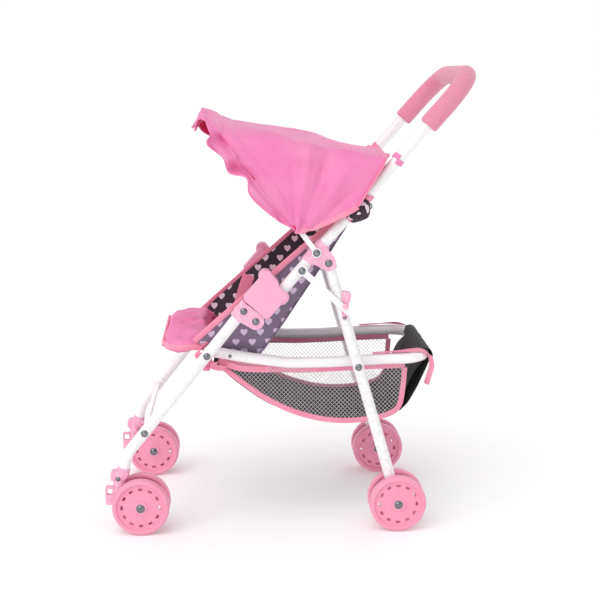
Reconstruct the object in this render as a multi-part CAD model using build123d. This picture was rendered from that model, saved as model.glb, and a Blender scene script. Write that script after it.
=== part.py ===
from build123d import *
import math
import os

# Doll stroller, millimetres. +Z is up, the front faces -Y, and +X is the rider's left side.
# Y is measured from the middle of the wheelbase here and shifted to the middle of the
# whole object when the sub-parts are written.

# ---- driving dimensions ----
TRACK = 110.8  # middle plane to the centre of every leg and handle tube
TUBE_R = 6.5
TUBE_WALL = 1.0
RIVET_R = 2.5
RIVET_HEAD_R = 4.2
RIVET_HEAD_H = 2.4
FIT = 0.05  # radial clearance of a pin that turns in its hole
GAP = 0.4  # air between pieces that move past each other

WHEEL_R = 33.0
WHEELBASE = 298.0
DISC_WIDTH = 11.5
DISC_GAP = 15.4  # between the two discs of a pair
AXLE_R = 2.0
CAP_R = 5.0

HANDLE_ANGLE = 48.6  # handle tube above the horizontal
FOLD_PIVOT = (-15.0, 249.0)  # Y, Z of the pin between a handle tube and a front leg
PIVOT_OFFSET = 18.2  # handle tube to the leg rivets
HANDLE_REACH = 366.0  # fold pivot to the handle's crossbar, along the tube
HANDLE_CORNER_R = 46.0
GRIP_START = 292.0
GRIP_R = 11.0
UPPER_RIVET_T = 104.0  # fold pivot to the upper bracket's rivet, along the tube
STRUT_RIVET_T = 78.0

FRONT_LEG_ANGLE = 51.1  # below the horizontal, upper part of the front leg
FRONT_LEG_BEND = 215.0  # from its top rivet to its bend
FRONT_LEG_END = (-171.0, 66.0)
BASKET_PIVOT_S = 67.5  # top rivet to the basket pivot, along the front leg
CASTER_Y = -174.0  # swivel axis
LEG_FRONT_END_Z = 55.0  # underside of the caster socket

BASKET_X = 84.0  # centre of the basket tube's sides
BASKET_CORNER_R = 30.0
BASKET_SIDE = [(-22.0, 199.0), (24.0, 192.5), (71.0, 193.0), (132.0, 196.0)]
BASKET_REAR = (186.0, 197.0)
BASKET_SCREW = (-45.0, 202.6)
OPEN_PIVOT_REACH = 126.0  # rear leg top pivot to the basket joint, along the rear leg

SLEEVE_LOW, SLEEVE_HIGH = 10.0, 48.0  # lock sleeve, along the handle tube from the fold pivot
SLEEVE_FRONT, SLEEVE_BACK = -28.5, 8.6  # lock sleeve, across the handle tube
SLEEVE_OUTER_X = 124.5
SLEEVE_INNER_X = 103.0

BOW_TIP = (-47.0, 463.0)
BOW_X = 120.2
BOW_CORNER_R = 34.0
CANOPY_X = 125.5
CANOPY_ROOF = [(-84, 476), (-49, 468.5), (17, 458), (89, 442), (134, 433.7)]
CANOPY_HEM = [(99, 381), (36, 352), (15, 363), (-22, 396), (-68, 450)]
CANOPY_ROUND = 26.0  # radius along the two long edges of the roof
CLOTH = 2.0  # thickness of the plain cloth solids

SEAT_FRONT = (-62.0, 214.5)
SEAT_CORNER = (-10.0, 203.5)
SEAT_TOP = (103.0, 376.0)
SEAT_LOW_X = 73.0  # half width at the seat
SEAT_HIGH_X = 99.0  # half width at the top of the back
SEAT_BOW = (-84.0, 226.0)  # front end of a side cloth's top edge
PAD_WIDTH, PAD_DEPTH, PAD_THICK = 168.0, 58.0, 8.0
PAD_MIDDLE = (-94.0, 219.5)
PAD_CORNER_R = 22.0
BELT_Y, BELT_WIDTH, BELT_THICK = -32.0, 16.0, 1.5
BASKET_FLOOR_CURVE = [
    (-62, 190.5), (-34, 168), (-8, 148), (24, 131),
    (60, 120), (95, 117.5), (126, 121), (148, 129),
]
BASKET_REAR_WALL = [(160.0, 152.0), (176.0, 186.5)]
BASKET_RIM = [(129.0, 188.0), (71.0, 185.0), (24.0, 184.5), (-22.0, 190.5)]

# ---- places worked out from them ----
AXLE_FRONT_Y = -WHEELBASE / 2
AXLE_REAR_Y = WHEELBASE / 2
ALONG = (math.cos(math.radians(HANDLE_ANGLE)), math.sin(math.radians(HANDLE_ANGLE)))
ACROSS = (ALONG[1], -ALONG[0])
LEG_DIR = (-math.cos(math.radians(FRONT_LEG_ANGLE)), -math.sin(math.radians(FRONT_LEG_ANGLE)))


def on_handle(t, n=0.0):
    """Y, Z at t along the handle tube from the fold pivot and n to its rear."""
    return (
        FOLD_PIVOT[0] + t * ALONG[0] + n * ACROSS[0],
        FOLD_PIVOT[1] + t * ALONG[1] + n * ACROSS[1],
    )


def step(start, direction, length):
    return (start[0] + direction[0] * length, start[1] + direction[1] * length)


def direction(a, b):
    length = math.dist(a, b)
    return ((b[0] - a[0]) / length, (b[1] - a[1]) / length)


LEG_TOP = on_handle(0, -PIVOT_OFFSET)
UPPER_RIVET = on_handle(UPPER_RIVET_T)
REAR_PIVOT = on_handle(UPPER_RIVET_T, PIVOT_OFFSET)
STRUT_PIVOT = on_handle(STRUT_RIVET_T, 1.0)
LEG_BEND = step(LEG_TOP, LEG_DIR, FRONT_LEG_BEND)
BASKET_PIVOT = step(LEG_TOP, LEG_DIR, BASKET_PIVOT_S)
REAR_AXLE = (AXLE_REAR_Y, WHEEL_R)
FRONT_AXLE = (AXLE_FRONT_Y, WHEEL_R)
REAR_DIR = direction(REAR_PIVOT, REAR_AXLE)
BASKET_JOINT = step(REAR_PIVOT, REAR_DIR, OPEN_PIVOT_REACH)
REAR_BACK = (-REAR_DIR[1], REAR_DIR[0])  # from the rear leg towards its rear
CROSSBAR = step(LEG_TOP, LEG_DIR, 183.0)
TAB_FRONT_Y = CASTER_Y - 16.4
SOCKET_SCREW = (CASTER_Y - 1.0, 65.0)
PIN_DEPTH = 5.0  # of the swivel pin in its socket
CATCH_FACE = 6.9  # middle of the rear leg to the outer face of its catch
CATCH = step(step(REAR_PIVOT, REAR_DIR, 43.5), REAR_BACK, 8.4)
CATCH_PEG = step(step(REAR_PIVOT, REAR_DIR, 52.5), REAR_BACK, 4.6)
CATCH_RIVET = step(step(REAR_PIVOT, REAR_DIR, 65.5), REAR_BACK, 0.5)
HANDLE_BAR = on_handle(HANDLE_REACH)
CENTRE_Y = (TAB_FRONT_Y + HANDLE_BAR[0] + GRIP_R) / 2


# ---- helpers ----
def rod(x0, x1, place, radius, bore=0.0):
    """A cylinder along X at Y, Z, with a bore if one is given."""
    shape = Cylinder(radius, abs(x1 - x0))
    if bore:
        shape -= Cylinder(bore, abs(x1 - x0) + 2)
    return Pos((x0 + x1) / 2, place[0], place[1]) * Rot(0, 90, 0) * shape


def plate(x0, x1, sketch):
    """A sketch in Y, Z made solid from x0 to x1."""
    return extrude(Plane.YZ.offset(min(x0, x1)) * sketch, amount=abs(x1 - x0))


def disc(place, radius):
    return Pos(*place) * Circle(radius)


def link(*eyes):
    """The outline round two or more circles, each given as Y, Z and radius."""
    edges = []
    for place, radius in eyes:
        edges += disc(place, radius).edges()
    return make_hull(edges)


def panel(*corners):
    return make_face(Polyline(*corners, close=True))


def at_x(points, x):
    return [(x, p[0], p[1]) for p in points]


def hollow_tube(path, outer, wall):
    section = Plane(origin=path @ 0, z_dir=path % 0) * (Circle(outer) - Circle(outer - wall))
    return sweep(section, path=path)


def domed_head(x, place, side, radius=RIVET_HEAD_R, height=RIVET_HEAD_H):
    """A rivet head that stands out from x on the given side."""
    ball = (radius**2 + height**2) / (2 * height)
    dome = Sphere(ball) & Pos(0, 0, ball - height / 2) * Box(3 * ball, 3 * ball, height)
    dome = Pos(0, 0, height - ball) * dome
    return Pos(x, place[0], place[1]) * Rot(0, 90 * side, 0) * dome


def rivet(x0, x1, place, radius=RIVET_R, inner_head=True):
    """A rivet through everything from x0, inside, to x1, outside, with domed heads."""
    shape = rod(x0, x1, place, radius) + domed_head(x1, place, 1)
    if inner_head:
        shape += domed_head(x0, place, -1)
    return shape


def other_side(shape):
    return mirror(shape, about=Plane.YZ)


# ---- handle and its fittings ----
def handle_path(start, corner):
    low, high = on_handle(start), HANDLE_BAR
    points = [(-TRACK, *low), (-TRACK, *high), (TRACK, *high), (TRACK, *low)]
    return FilletPolyline(*points, radius=corner)


def handle_tube():
    tube = hollow_tube(handle_path(-5.0, HANDLE_CORNER_R), TUBE_R, TUBE_WALL)
    for side in (-1, 1):
        for place in (FOLD_PIVOT, UPPER_RIVET, STRUT_PIVOT):
            tube -= rod(side * (TRACK - 10), side * (TRACK + 10), place, RIVET_R + FIT)
    return tube


def handle_grip():
    """Foam sleeve over the bend, with softened ends."""
    path = handle_path(GRIP_START, HANDLE_CORNER_R)
    section = Plane(origin=path @ 0, z_dir=path % 0) * (Circle(GRIP_R) - Circle(TUBE_R + FIT))
    grip = sweep(section, path=path)
    ends = [e for e in grip.edges().filter_by(GeomType.CIRCLE) if abs(e.radius - GRIP_R) < 0.01]
    ends = [e for e in ends if e.arc_center.Z < on_handle(GRIP_START + 1)[1]]
    return fillet(ends, 2.5)


def upper_bracket():
    """Moulded sleeve on the handle tube with two cheeks for the rear leg."""
    low, high = on_handle(UPPER_RIVET_T - 15), on_handle(UPPER_RIVET_T + 13)
    axis = Plane(origin=(TRACK, *low), z_dir=(0, *ALONG))
    sleeve = extrude(axis * Circle(8.2), amount=math.dist(low, high))
    low_eye = (on_handle(UPPER_RIVET_T - 4, 1), 9.0)
    high_eye = (on_handle(UPPER_RIVET_T + 5, 2), 7.5)
    cheek = link(low_eye, (REAR_PIVOT, 8.8), high_eye)
    cheeks = plate(TRACK - 7.7, TRACK - 6.9, cheek) + plate(TRACK + 6.9, TRACK + 7.7, cheek)
    bracket = sleeve + cheeks
    bracket -= extrude(axis * Circle(TUBE_R + FIT), amount=200, both=True)
    bracket -= plate(TRACK - 6.85, TRACK + 6.85, disc(REAR_PIVOT, 9.1))
    for place in (UPPER_RIVET, REAR_PIVOT):
        bracket -= rod(TRACK - 12, TRACK + 12, place, RIVET_R + FIT)
    return bracket


def frame_rivets():
    """Rivets held by the handle tube and upper bracket: canopy bow, rear leg and fold strut."""
    outside = TRACK + 10.4
    shape = rivet(TRACK - 9.0, outside, UPPER_RIVET)
    shape += rivet(TRACK - 7.9, TRACK + 7.9, REAR_PIVOT)
    shape += rivet(TRACK - 6.8, TRACK + 9.9, STRUT_PIVOT)
    return shape


# ---- lock sleeve ----
def lock_sleeve():
    """Block that slides up the handle tube, with a finger bump at its top front and rear."""
    corners = [
        on_handle(SLEEVE_LOW, SLEEVE_FRONT),
        on_handle(SLEEVE_HIGH, SLEEVE_FRONT),
        on_handle(SLEEVE_HIGH, SLEEVE_BACK),
        on_handle(SLEEVE_LOW, SLEEVE_BACK),
    ]
    front_bump = link(
        (on_handle(SLEEVE_HIGH - 2, SLEEVE_FRONT + 3), 8.0),
        (on_handle(SLEEVE_HIGH - 4, SLEEVE_FRONT + 14), 8.0),
    )
    rear_bump = link(
        (on_handle(SLEEVE_HIGH - 5.5, SLEEVE_BACK - 3), 5.4),
        (on_handle(SLEEVE_HIGH - 10, SLEEVE_BACK - 3), 5.4),
    )
    body = plate(SLEEVE_INNER_X, SLEEVE_OUTER_X, panel(*corners))
    long_edges = body.edges().filter_by(Axis.X)
    body = fillet(long_edges, 3.5)
    body += plate(SLEEVE_INNER_X + 4, SLEEVE_OUTER_X, front_bump)
    body += plate(SLEEVE_INNER_X + 3, SLEEVE_OUTER_X - 2, rear_bump)
    face = body.faces().sort_by(Axis.X)[-1]
    body = fillet(face.edges(), 1.6)
    bore = Plane(origin=(TRACK, *on_handle(0)), z_dir=(0, *ALONG))
    body -= extrude(bore * Circle(TUBE_R + 0.3), amount=200)
    return body


# ---- fold strut ----
def fold_strut():
    """Flat strip from the handle tube to the catch on the rear leg, with an open hook."""
    inner, outer = TRACK + 8.0, TRACK + 9.6
    run = direction(STRUT_PIVOT, CATCH_PEG)
    end = step(step(CATCH_PEG, run, 6.5), (run[1], -run[0]), 3.0)
    strip = link((step(STRUT_PIVOT, run, 3.0), 3.8), (end, 3.6)) + disc(STRUT_PIVOT, 6.5)
    notch = link((CATCH_PEG, 2.6), (step(CATCH_PEG, (0.96, 0.28), 16.0), 2.9))
    notch += link((CATCH_PEG, 2.6), (step(CATCH_PEG, (0.60, 0.80), 16.0), 2.9))
    strut = plate(inner, outer, strip) - plate(inner - 1, outer + 1, notch)
    return strut - rod(inner - 1, outer + 1, STRUT_PIVOT, RIVET_R + FIT)


# ---- front legs ----
def front_leg():
    points = at_x([step(LEG_TOP, LEG_DIR, -5.0), LEG_BEND, FRONT_LEG_END], TRACK)
    path = FilletPolyline(*points, radius=35.0)
    leg = hollow_tube(path, TUBE_R, TUBE_WALL)
    for place in (LEG_TOP, BASKET_PIVOT, CROSSBAR):
        leg -= rod(TRACK - 10, TRACK + 10, place, RIVET_R + FIT)
    return leg


def lower_bracket():
    """Moulded socket round the front leg's top with two cheeks that hold the handle tube."""
    socket_axis = Plane(origin=(TRACK, *step(LEG_TOP, LEG_DIR, -8.5)), z_dir=(0, *LEG_DIR))
    socket = extrude(socket_axis * Circle(8.8), amount=21.0)
    cheek = link((FOLD_PIVOT, 9.4), (step(LEG_TOP, LEG_DIR, 4), 8.8), (step(LEG_TOP, LEG_DIR, -2), 6.6))
    cheeks = plate(TRACK - 9.6, TRACK - 6.9, cheek) + plate(TRACK + 6.9, TRACK + 9.6, cheek)
    bracket = socket + cheeks
    bracket -= plate(TRACK - 6.85, TRACK + 6.85, disc(FOLD_PIVOT, 9.45))
    bore_axis = Plane(origin=(TRACK, *step(LEG_TOP, LEG_DIR, -5.05)), z_dir=(0, *LEG_DIR))
    bracket -= extrude(bore_axis * Circle(TUBE_R + FIT), amount=40)
    for place in (FOLD_PIVOT, LEG_TOP):
        bracket -= rod(TRACK - 12, TRACK + 12, place, RIVET_R + FIT)
    return bracket


def leg_rivets():
    """Fold pin, leg rivet, basket pivot pin and crossbar rivet, all held by the front leg."""
    shape = rivet(TRACK - 9.7, TRACK + 9.7, FOLD_PIVOT)
    shape += rivet(TRACK - 9.7, TRACK + 9.7, LEG_TOP)
    shape += rivet(BASKET_X - TUBE_R - 0.6, TRACK + TUBE_R, BASKET_PIVOT)
    shape += rivet(TRACK - TUBE_R - 2.0, TRACK + TUBE_R, CROSSBAR, inner_head=False)
    return shape


def leg_spacer(place):
    """Short bush between a leg and the basket tube."""
    return rod(BASKET_X + TUBE_R + GAP, TRACK - TUBE_R, place, 5.0, RIVET_R + FIT)


def front_crossbar():
    """Flat strip between the front legs with a round end plate against each leg."""
    half = TRACK - TUBE_R - 0.1
    tilt = Plane(origin=(0, *CROSSBAR), x_dir=(1, 0, 0), z_dir=(0, -LEG_DIR[1], LEG_DIR[0]))
    strip = extrude(tilt * Rectangle(2 * half - 4, 11.0), amount=1.6, both=True)
    strip = fillet(strip.edges().filter_by(Axis.X), 1.2)
    for side in (-1, 1):
        strip += rod(side * (half - 2.4), side * half, CROSSBAR, 6.0)
        strip -= rod(side * (half - 2.0), side * (half + 1), CROSSBAR, RIVET_R + FIT)
    return strip


def caster_socket():
    """Moulded foot of the front leg, with the tube from above and the swivel pin from below."""
    top, low = LEG_FRONT_END_Z + 18.5, LEG_FRONT_END_Z
    foot = Pos(TRACK, CASTER_Y, (top + low) / 2) * Cylinder(7.3, top - low)
    front, rear = CASTER_Y - 9.6, CASTER_Y + 13.0
    sole = low + 7.6
    profile = panel((front, top), (rear, top), (rear - 5.5, sole + 1), (CASTER_Y, sole), (front, sole))
    block = plate(TRACK - 6.4, TRACK + 6.4, profile)
    block = fillet(block.edges().filter_by(Axis.X).sort_by(Axis.Z)[-2:], 3.0)
    block = fillet(block.faces().sort_by(Axis.X)[-1].edges(), 1.0)
    leg_down = direction(LEG_BEND, FRONT_LEG_END)
    collar_axis = Plane(origin=(TRACK, *step(FRONT_LEG_END, leg_down, -11.0)), z_dir=(0, *leg_down))
    socket = foot + block + extrude(collar_axis * Circle(7.4), amount=10.0)
    socket -= extrude(collar_axis * Circle(TUBE_R + FIT), amount=11.05)
    socket -= rod(TRACK + 5, TRACK + 9, SOCKET_SCREW, 1.55)
    return socket - Pos(TRACK, CASTER_Y, low) * Cylinder(2.5, 2 * PIN_DEPTH)


def socket_screw():
    """Cross-head screw in the outer side of the caster socket."""
    screw = rod(TRACK + 5.1, TRACK + 7.3, SOCKET_SCREW, 1.5)
    head = domed_head(TRACK + 7.3, SOCKET_SCREW, 1, 2.9, 1.4)
    slots = Box(1.2, 4.0, 0.7) + Box(1.2, 0.7, 4.0)
    return screw + (head - Pos(TRACK + 8.7, *SOCKET_SCREW) * slots)


def swivel_pin():
    """Steel pin fixed in the caster socket, with a wide head under the fork."""
    top, bottom = LEG_FRONT_END_Z + PIN_DEPTH, 36.0
    pin = Pos(TRACK, CASTER_Y, (top + bottom) / 2) * Cylinder(2.5, top - bottom)
    return pin + Pos(TRACK, CASTER_Y, bottom - 0.7) * Cylinder(4.0, 1.4)


# ---- casters ----
def caster_fork():
    """Hub between the two discs, an arm to the swivel post and a lock tab in front."""
    post_top, post_bottom = LEG_FRONT_END_Z - GAP, 36.4
    post = Pos(TRACK, CASTER_Y, (post_top + post_bottom) / 2) * Cylinder(6.4, post_top - post_bottom)
    hub = rod(TRACK - 7.3, TRACK + 7.3, FRONT_AXLE, 8.0)
    arm = plate(TRACK - 4.5, TRACK + 4.5, link((FRONT_AXLE, 8.0), ((CASTER_Y + 1, 47.0), 6.0)))
    arm -= plate(TRACK - 9, TRACK + 9, Pos(CASTER_Y, 20) * Rectangle(14, 32.8))
    tab = plate(TRACK - 3.5, TRACK + 3.5, Pos(CASTER_Y - 9.9, 43.6) * RectangleRounded(13.0, 21.5, 1.2))
    tab -= plate(TRACK - 9, TRACK + 9, Pos(CASTER_Y - 11.4, 48.2) * RectangleRounded(6.2, 7.6, 0.8))
    fork = post + hub + arm + tab
    fork -= Pos(TRACK, CASTER_Y, 46) * Cylinder(2.5 + FIT, 60)
    fork -= Pos(TRACK, CASTER_Y, 30.0) * Cylinder(4.6, 12.8)
    fork -= rod(TRACK - 12, TRACK + 12, FRONT_AXLE, AXLE_R + FIT)
    return fork


def wheel_disc(side, centre_x, axle):
    """One disc: a tread ring, a dished web with twelve slots and a hub. side is the way it faces."""
    half = DISC_WIDTH / 2
    profile = [
        (AXLE_R, -half), (6.5, -half), (6.5, half - 4.6), (27.6, half - 5.4), (28.4, -half + 0.6),
        (29.4, -half), (31.6, -half), (WHEEL_R, -half + 1.8), (WHEEL_R, half - 4.2), (32.2, half - 1.6),
        (30.4, half - 0.3), (29.0, half), (27.9, half - 0.6), (27.2, half - 2.4), (25.8, half - 2.9),
        (8.2, half - 1.5), (7.4, half), (AXLE_R, half),
    ]
    shape = revolve(Plane.XZ * make_face(Polyline(*profile, close=True)), axis=Axis.Z)
    for turn in range(12):
        slot = Pos(21.8, 0, half - 3) * Box(3.0, 5.0, 12)
        shape -= Rot(0, 0, 30 * turn) * slot
    return Pos(centre_x, axle[0], axle[1]) * Rot(0, 90 * side, 0) * shape


def axle_with_caps(axle):
    """Steel axle through both discs with a domed push-on cap at each end."""
    reach = DISC_GAP / 2 + DISC_WIDTH
    shape = rod(TRACK - reach - 0.4, TRACK + reach + 0.4, axle, AXLE_R - 0.02)
    for side in (-1, 1):
        face = TRACK + side * (reach + 0.05)
        shape += rod(face, face + side * 0.8, axle, CAP_R)
        shape += domed_head(face + side * 0.8, axle, side, CAP_R - 0.9, 1.9)
    return shape


# ---- rear legs ----
def rear_leg():
    points = at_x([step(REAR_PIVOT, REAR_DIR, -4.5), step(REAR_AXLE, REAR_DIR, -9.5)], TRACK)
    leg = hollow_tube(Line(*points), TUBE_R, TUBE_WALL)
    for place in (REAR_PIVOT, BASKET_JOINT, CATCH_RIVET):
        leg -= rod(TRACK - 10, TRACK + 10, place, RIVET_R + FIT)
    return leg


def rear_hub():
    """Moulded foot of the rear leg that carries the axle."""
    hub = rod(TRACK - 7.3, TRACK + 7.3, REAR_AXLE, 8.5)
    axis = Plane(origin=(TRACK, *step(REAR_AXLE, REAR_DIR, -22.0)), z_dir=(0, *REAR_DIR))
    hub += extrude(axis * Circle(7.3), amount=22.0)
    hub -= extrude(axis * Circle(TUBE_R + FIT), amount=12.55)
    hub -= rod(TRACK - 12, TRACK + 12, REAR_AXLE, AXLE_R + FIT)
    return hub


def rear_rivets():
    """Rivets held by the rear leg: the catch's and the basket's, which stops short of the basket."""
    shape = rivet(BASKET_X + TUBE_R + GAP, TRACK + TUBE_R, BASKET_JOINT, inner_head=False)
    face = TRACK + CATCH_FACE
    shape += rod(TRACK - TUBE_R + 1, face, CATCH_RIVET, 1.6)
    return shape + domed_head(face, CATCH_RIVET, 1, 2.2, 0.8)


def latch_catch():
    """Moulded block behind the rear leg, with a peg for the strut's hook."""
    outline = Pos(*CATCH) * Rot(0, 0, -8) * RectangleRounded(11.0, 11.5, 2.4)
    block = plate(TRACK - 6.0, TRACK + CATCH_FACE, outline)
    foot = plate(TRACK + 4.0, TRACK + CATCH_FACE, link((CATCH_PEG, 4.2), (CATCH_RIVET, 3.2), (CATCH, 3.0)))
    catch = block + foot
    leg_axis = Plane(origin=(TRACK, *REAR_PIVOT), z_dir=(0, *REAR_DIR))
    catch -= extrude(leg_axis * Circle(TUBE_R + FIT), amount=120)
    catch += rod(TRACK + 6.7, TRACK + 10.2, CATCH_PEG, 2.1)
    catch += rod(TRACK + 10.2, TRACK + 11.6, CATCH_PEG, 3.0)
    return catch - rod(TRACK - 8, TRACK + 9, CATCH_RIVET, 1.65)


# ---- basket ----
def basket_path():
    front = step(BASKET_PIVOT, (-0.98, 0.06), 5.0)
    points = at_x([front, *BASKET_SIDE, BASKET_REAR], BASKET_X)
    points += [(-p[0], p[1], p[2]) for p in reversed(points)]
    gentle = 120.0
    radii = [gentle, gentle, gentle, gentle, BASKET_CORNER_R]
    return FilletPolyline(*points, radius=radii + radii[::-1])


def basket_screws():
    """Small screws in the tube's sides that hold the basket cloth's front ends."""
    shank = rod(BASKET_X + 4, BASKET_X + TUBE_R, BASKET_SCREW, 1.2)
    return shank + domed_head(BASKET_X + TUBE_R, BASKET_SCREW, 1, 2.2, 1.1)


def basket_tube():
    tube = hollow_tube(basket_path(), TUBE_R, TUBE_WALL)
    for side in (-1, 1):
        tube -= rod(side * (BASKET_X - 10), side * (BASKET_X + 10), BASKET_PIVOT, RIVET_R + FIT)
        tube -= rod(side * BASKET_X, side * (BASKET_X + 10), BASKET_SCREW, 1.2)
    return tube


def basket_cloth():
    """Open-topped basket: two side walls, a curved floor and a sloping rear wall."""
    side = panel(*BASKET_FLOOR_CURVE, *BASKET_REAR_WALL, *BASKET_RIM)
    outer = plate(-BASKET_X - 1, BASKET_X + 1, side)
    floor = [(y, z + CLOTH * 1.2) for y, z in BASKET_FLOOR_CURVE]
    wall = [(y - CLOTH * 1.3, z + CLOTH * 0.8) for y, z in BASKET_REAR_WALL]
    well_above = 260.0
    inner = panel(*floor, *wall, (wall[-1][0], well_above), (floor[0][0], well_above))
    return outer - plate(-BASKET_X - 1 + CLOTH, BASKET_X + 1 - CLOTH, inner)


# ---- seat ----

def seat_base():
    run = direction(SEAT_FRONT, SEAT_CORNER)
    up = (-run[1], run[0])
    corners = [SEAT_FRONT, SEAT_CORNER, step(SEAT_CORNER, up, CLOTH), step(SEAT_FRONT, up, CLOTH)]
    return plate(-SEAT_LOW_X, SEAT_LOW_X, panel(*corners))


def seat_back():
    """Backrest cloth, wider at the top than at the seat."""
    run = direction(SEAT_CORNER, SEAT_TOP)
    start = step(SEAT_CORNER, run, 3.0)
    face = Plane(origin=(0, *start), x_dir=(1, 0, 0), z_dir=(0, run[1], -run[0]))
    high = math.dist(start, SEAT_TOP)
    sign = 1 if face.y_dir.Z > 0 else -1
    low_edge = [(-SEAT_LOW_X, 0), (SEAT_LOW_X, 0)]
    outline = panel(*low_edge, (SEAT_HIGH_X, sign * high), (-SEAT_HIGH_X, sign * high))
    return extrude(face * outline, amount=-CLOTH)


def seat_side():
    """Triangular side cloth from the seat's front to its top, leaning outwards."""
    front = (92.0, *SEAT_BOW)
    low = (SEAT_LOW_X + 1.5, SEAT_CORNER[0] - 2, SEAT_CORNER[1] + 4)
    high = (SEAT_HIGH_X + 1, SEAT_TOP[0] - 7, SEAT_TOP[1] + 1)
    face = make_face(Polyline(front, low, high, close=True))
    return extrude(face, amount=CLOTH / 2, both=True)


def front_pad():
    """Padded front edge of the seat."""
    pad = Pos(0, *PAD_MIDDLE) * Box(PAD_WIDTH, PAD_DEPTH, PAD_THICK)
    return fillet(pad.edges().filter_by(Axis.Z).sort_by(Axis.Y)[:2], PAD_CORNER_R)


def lap_belt():
    """Flat belt that lies across the seat and climbs both side cloths."""
    end, across = (81, 258), (70, 219)
    outer = [(-end[0], end[1]), (-across[0], across[1]), across, end]
    inner = []
    for x, z in outer:
        lift = BELT_THICK if z == across[1] else 0
        inner.append((x - math.copysign(BELT_THICK, x), z + lift))
    section = make_face(Polyline(*outer, *reversed(inner), close=True))
    belt = extrude(Plane.XZ * section, amount=BELT_WIDTH / 2, both=True)
    return Pos(0, BELT_Y, 0) * belt


# ---- canopy ----
def canopy_bow():
    """Flat wire bow: an arm on each side, an eye at its foot and a round bar across the top."""
    reach = math.dist(UPPER_RIVET, BOW_TIP)
    bow_dir = direction(UPPER_RIVET, BOW_TIP)
    frame = Plane(origin=(0, *UPPER_RIVET), x_dir=(1, 0, 0), z_dir=(0, -bow_dir[1], bow_dir[0]))
    flip = 1 if frame.y_dir.dot(Vector(0, *bow_dir)) > 0 else -1
    points = [(-BOW_X, 0), (-BOW_X, flip * reach), (BOW_X, flip * reach), (BOW_X, 0)]
    path = FilletPolyline(*[frame.from_local_coords((p[0], p[1], 0)) for p in points], radius=BOW_CORNER_R)
    section = Plane(origin=path @ 0, x_dir=(1, 0, 0), z_dir=path % 0) * RectangleRounded(1.6, 6.0, 0.7)
    bow = sweep(section, path=path)
    for side in (-1, 1):
        eye = rod(side * (BOW_X - 0.8), side * (BOW_X + 0.8), UPPER_RIVET, 5.6)
        bow = bow + eye - rod(side * (BOW_X - 3), side * (BOW_X + 3), UPPER_RIVET, RIVET_R + FIT)
    return bow


def hood(half_width, roof, skirt, corner):
    """A solid under a curved roof line, rounded along its two long roof edges."""
    line = Spline(*roof)
    edges = [line] + [Line(a, b) for a, b in zip([roof[-1], *skirt], [*skirt, roof[0]])]
    solid = plate(-half_width, half_width, make_face(edges))
    sides = (solid.faces().sort_by(Axis.X)[0], solid.faces().sort_by(Axis.X)[-1])
    ridges = [side.edges().filter_by(GeomType.BSPLINE)[0] for side in sides]
    return fillet(ridges, corner)


def canopy_cloth():
    """Thin hood, open at the front, the rear and underneath."""
    front, rear, below = -110.0, 165.0, 300.0
    under = [(y, z - CLOTH) for y, z in CANOPY_ROOF[1:-1]]
    inner_roof = [(front, 480.0), *under, (rear, 426.0)]
    outer = hood(CANOPY_X, CANOPY_ROOF, CANOPY_HEM, CANOPY_ROUND)
    inner = hood(CANOPY_X - CLOTH, inner_roof, [(rear, below), (front, below)], CANOPY_ROUND - 1.5)
    return outer - inner


# ---- write the sub-parts ----
def save(name, shape):
    placed = Pos(0, -CENTRE_Y, 0) * shape
    export_step(placed, f"parts/{name}.step")


def save_pair(name, shape):
    """Write the +X piece as left and its mirror image as right."""
    save(f"{name}_left", shape)
    save(f"{name}_right", other_side(shape))


def save_both(name, shape):
    """Write the +X piece and its mirror image as one node of separate solids."""
    save(name, Compound([*shape.solids(), *other_side(shape).solids()]))


def build():
    os.makedirs("parts", exist_ok=True)
    save("handle_tube", handle_tube())
    save("handle_grip", handle_grip())
    save_pair("upper_bracket", upper_bracket())
    save_both("frame_rivets", frame_rivets())
    save_pair("lock_sleeve", lock_sleeve())
    save_pair("fold_strut", fold_strut())
    save_pair("front_leg", front_leg())
    save_pair("lower_bracket", lower_bracket())
    save_both("leg_rivets", leg_rivets())
    save_both("basket_spacers", leg_spacer(BASKET_PIVOT))
    save("front_crossbar", front_crossbar())
    save_pair("caster_socket", caster_socket())
    save_both("socket_screws", socket_screw())
    save_both("swivel_pins", swivel_pin())
    save_pair("caster_fork", caster_fork())
    save_pair("rear_leg", rear_leg())
    save_pair("rear_hub", rear_hub())
    save_both("rear_spacers", leg_spacer(BASKET_JOINT))
    save_both("rear_rivets", rear_rivets())
    save_pair("latch_catch", latch_catch())
    reach = (DISC_GAP + DISC_WIDTH) / 2
    for end, axle in (("front", FRONT_AXLE), ("rear", REAR_AXLE)):
        save_pair(f"{end}_disc_outer", wheel_disc(1, TRACK + reach, axle))
        save_pair(f"{end}_disc_inner", wheel_disc(-1, TRACK - reach, axle))
        save_pair(f"{end}_axle", axle_with_caps(axle))
    save("basket_tube", basket_tube())
    save_both("basket_screws", basket_screws())
    save("basket_cloth", basket_cloth())
    save("seat_base", seat_base())
    save("seat_back", seat_back())
    save_pair("seat_side", seat_side())
    save("front_pad", front_pad())
    save("lap_belt", lap_belt())
    save("canopy_bow", canopy_bow())
    save("canopy_cloth", canopy_cloth())


build()
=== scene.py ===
"""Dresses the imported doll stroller: satin hood, printed seat, padded apron, netting basket and trims."""

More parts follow.
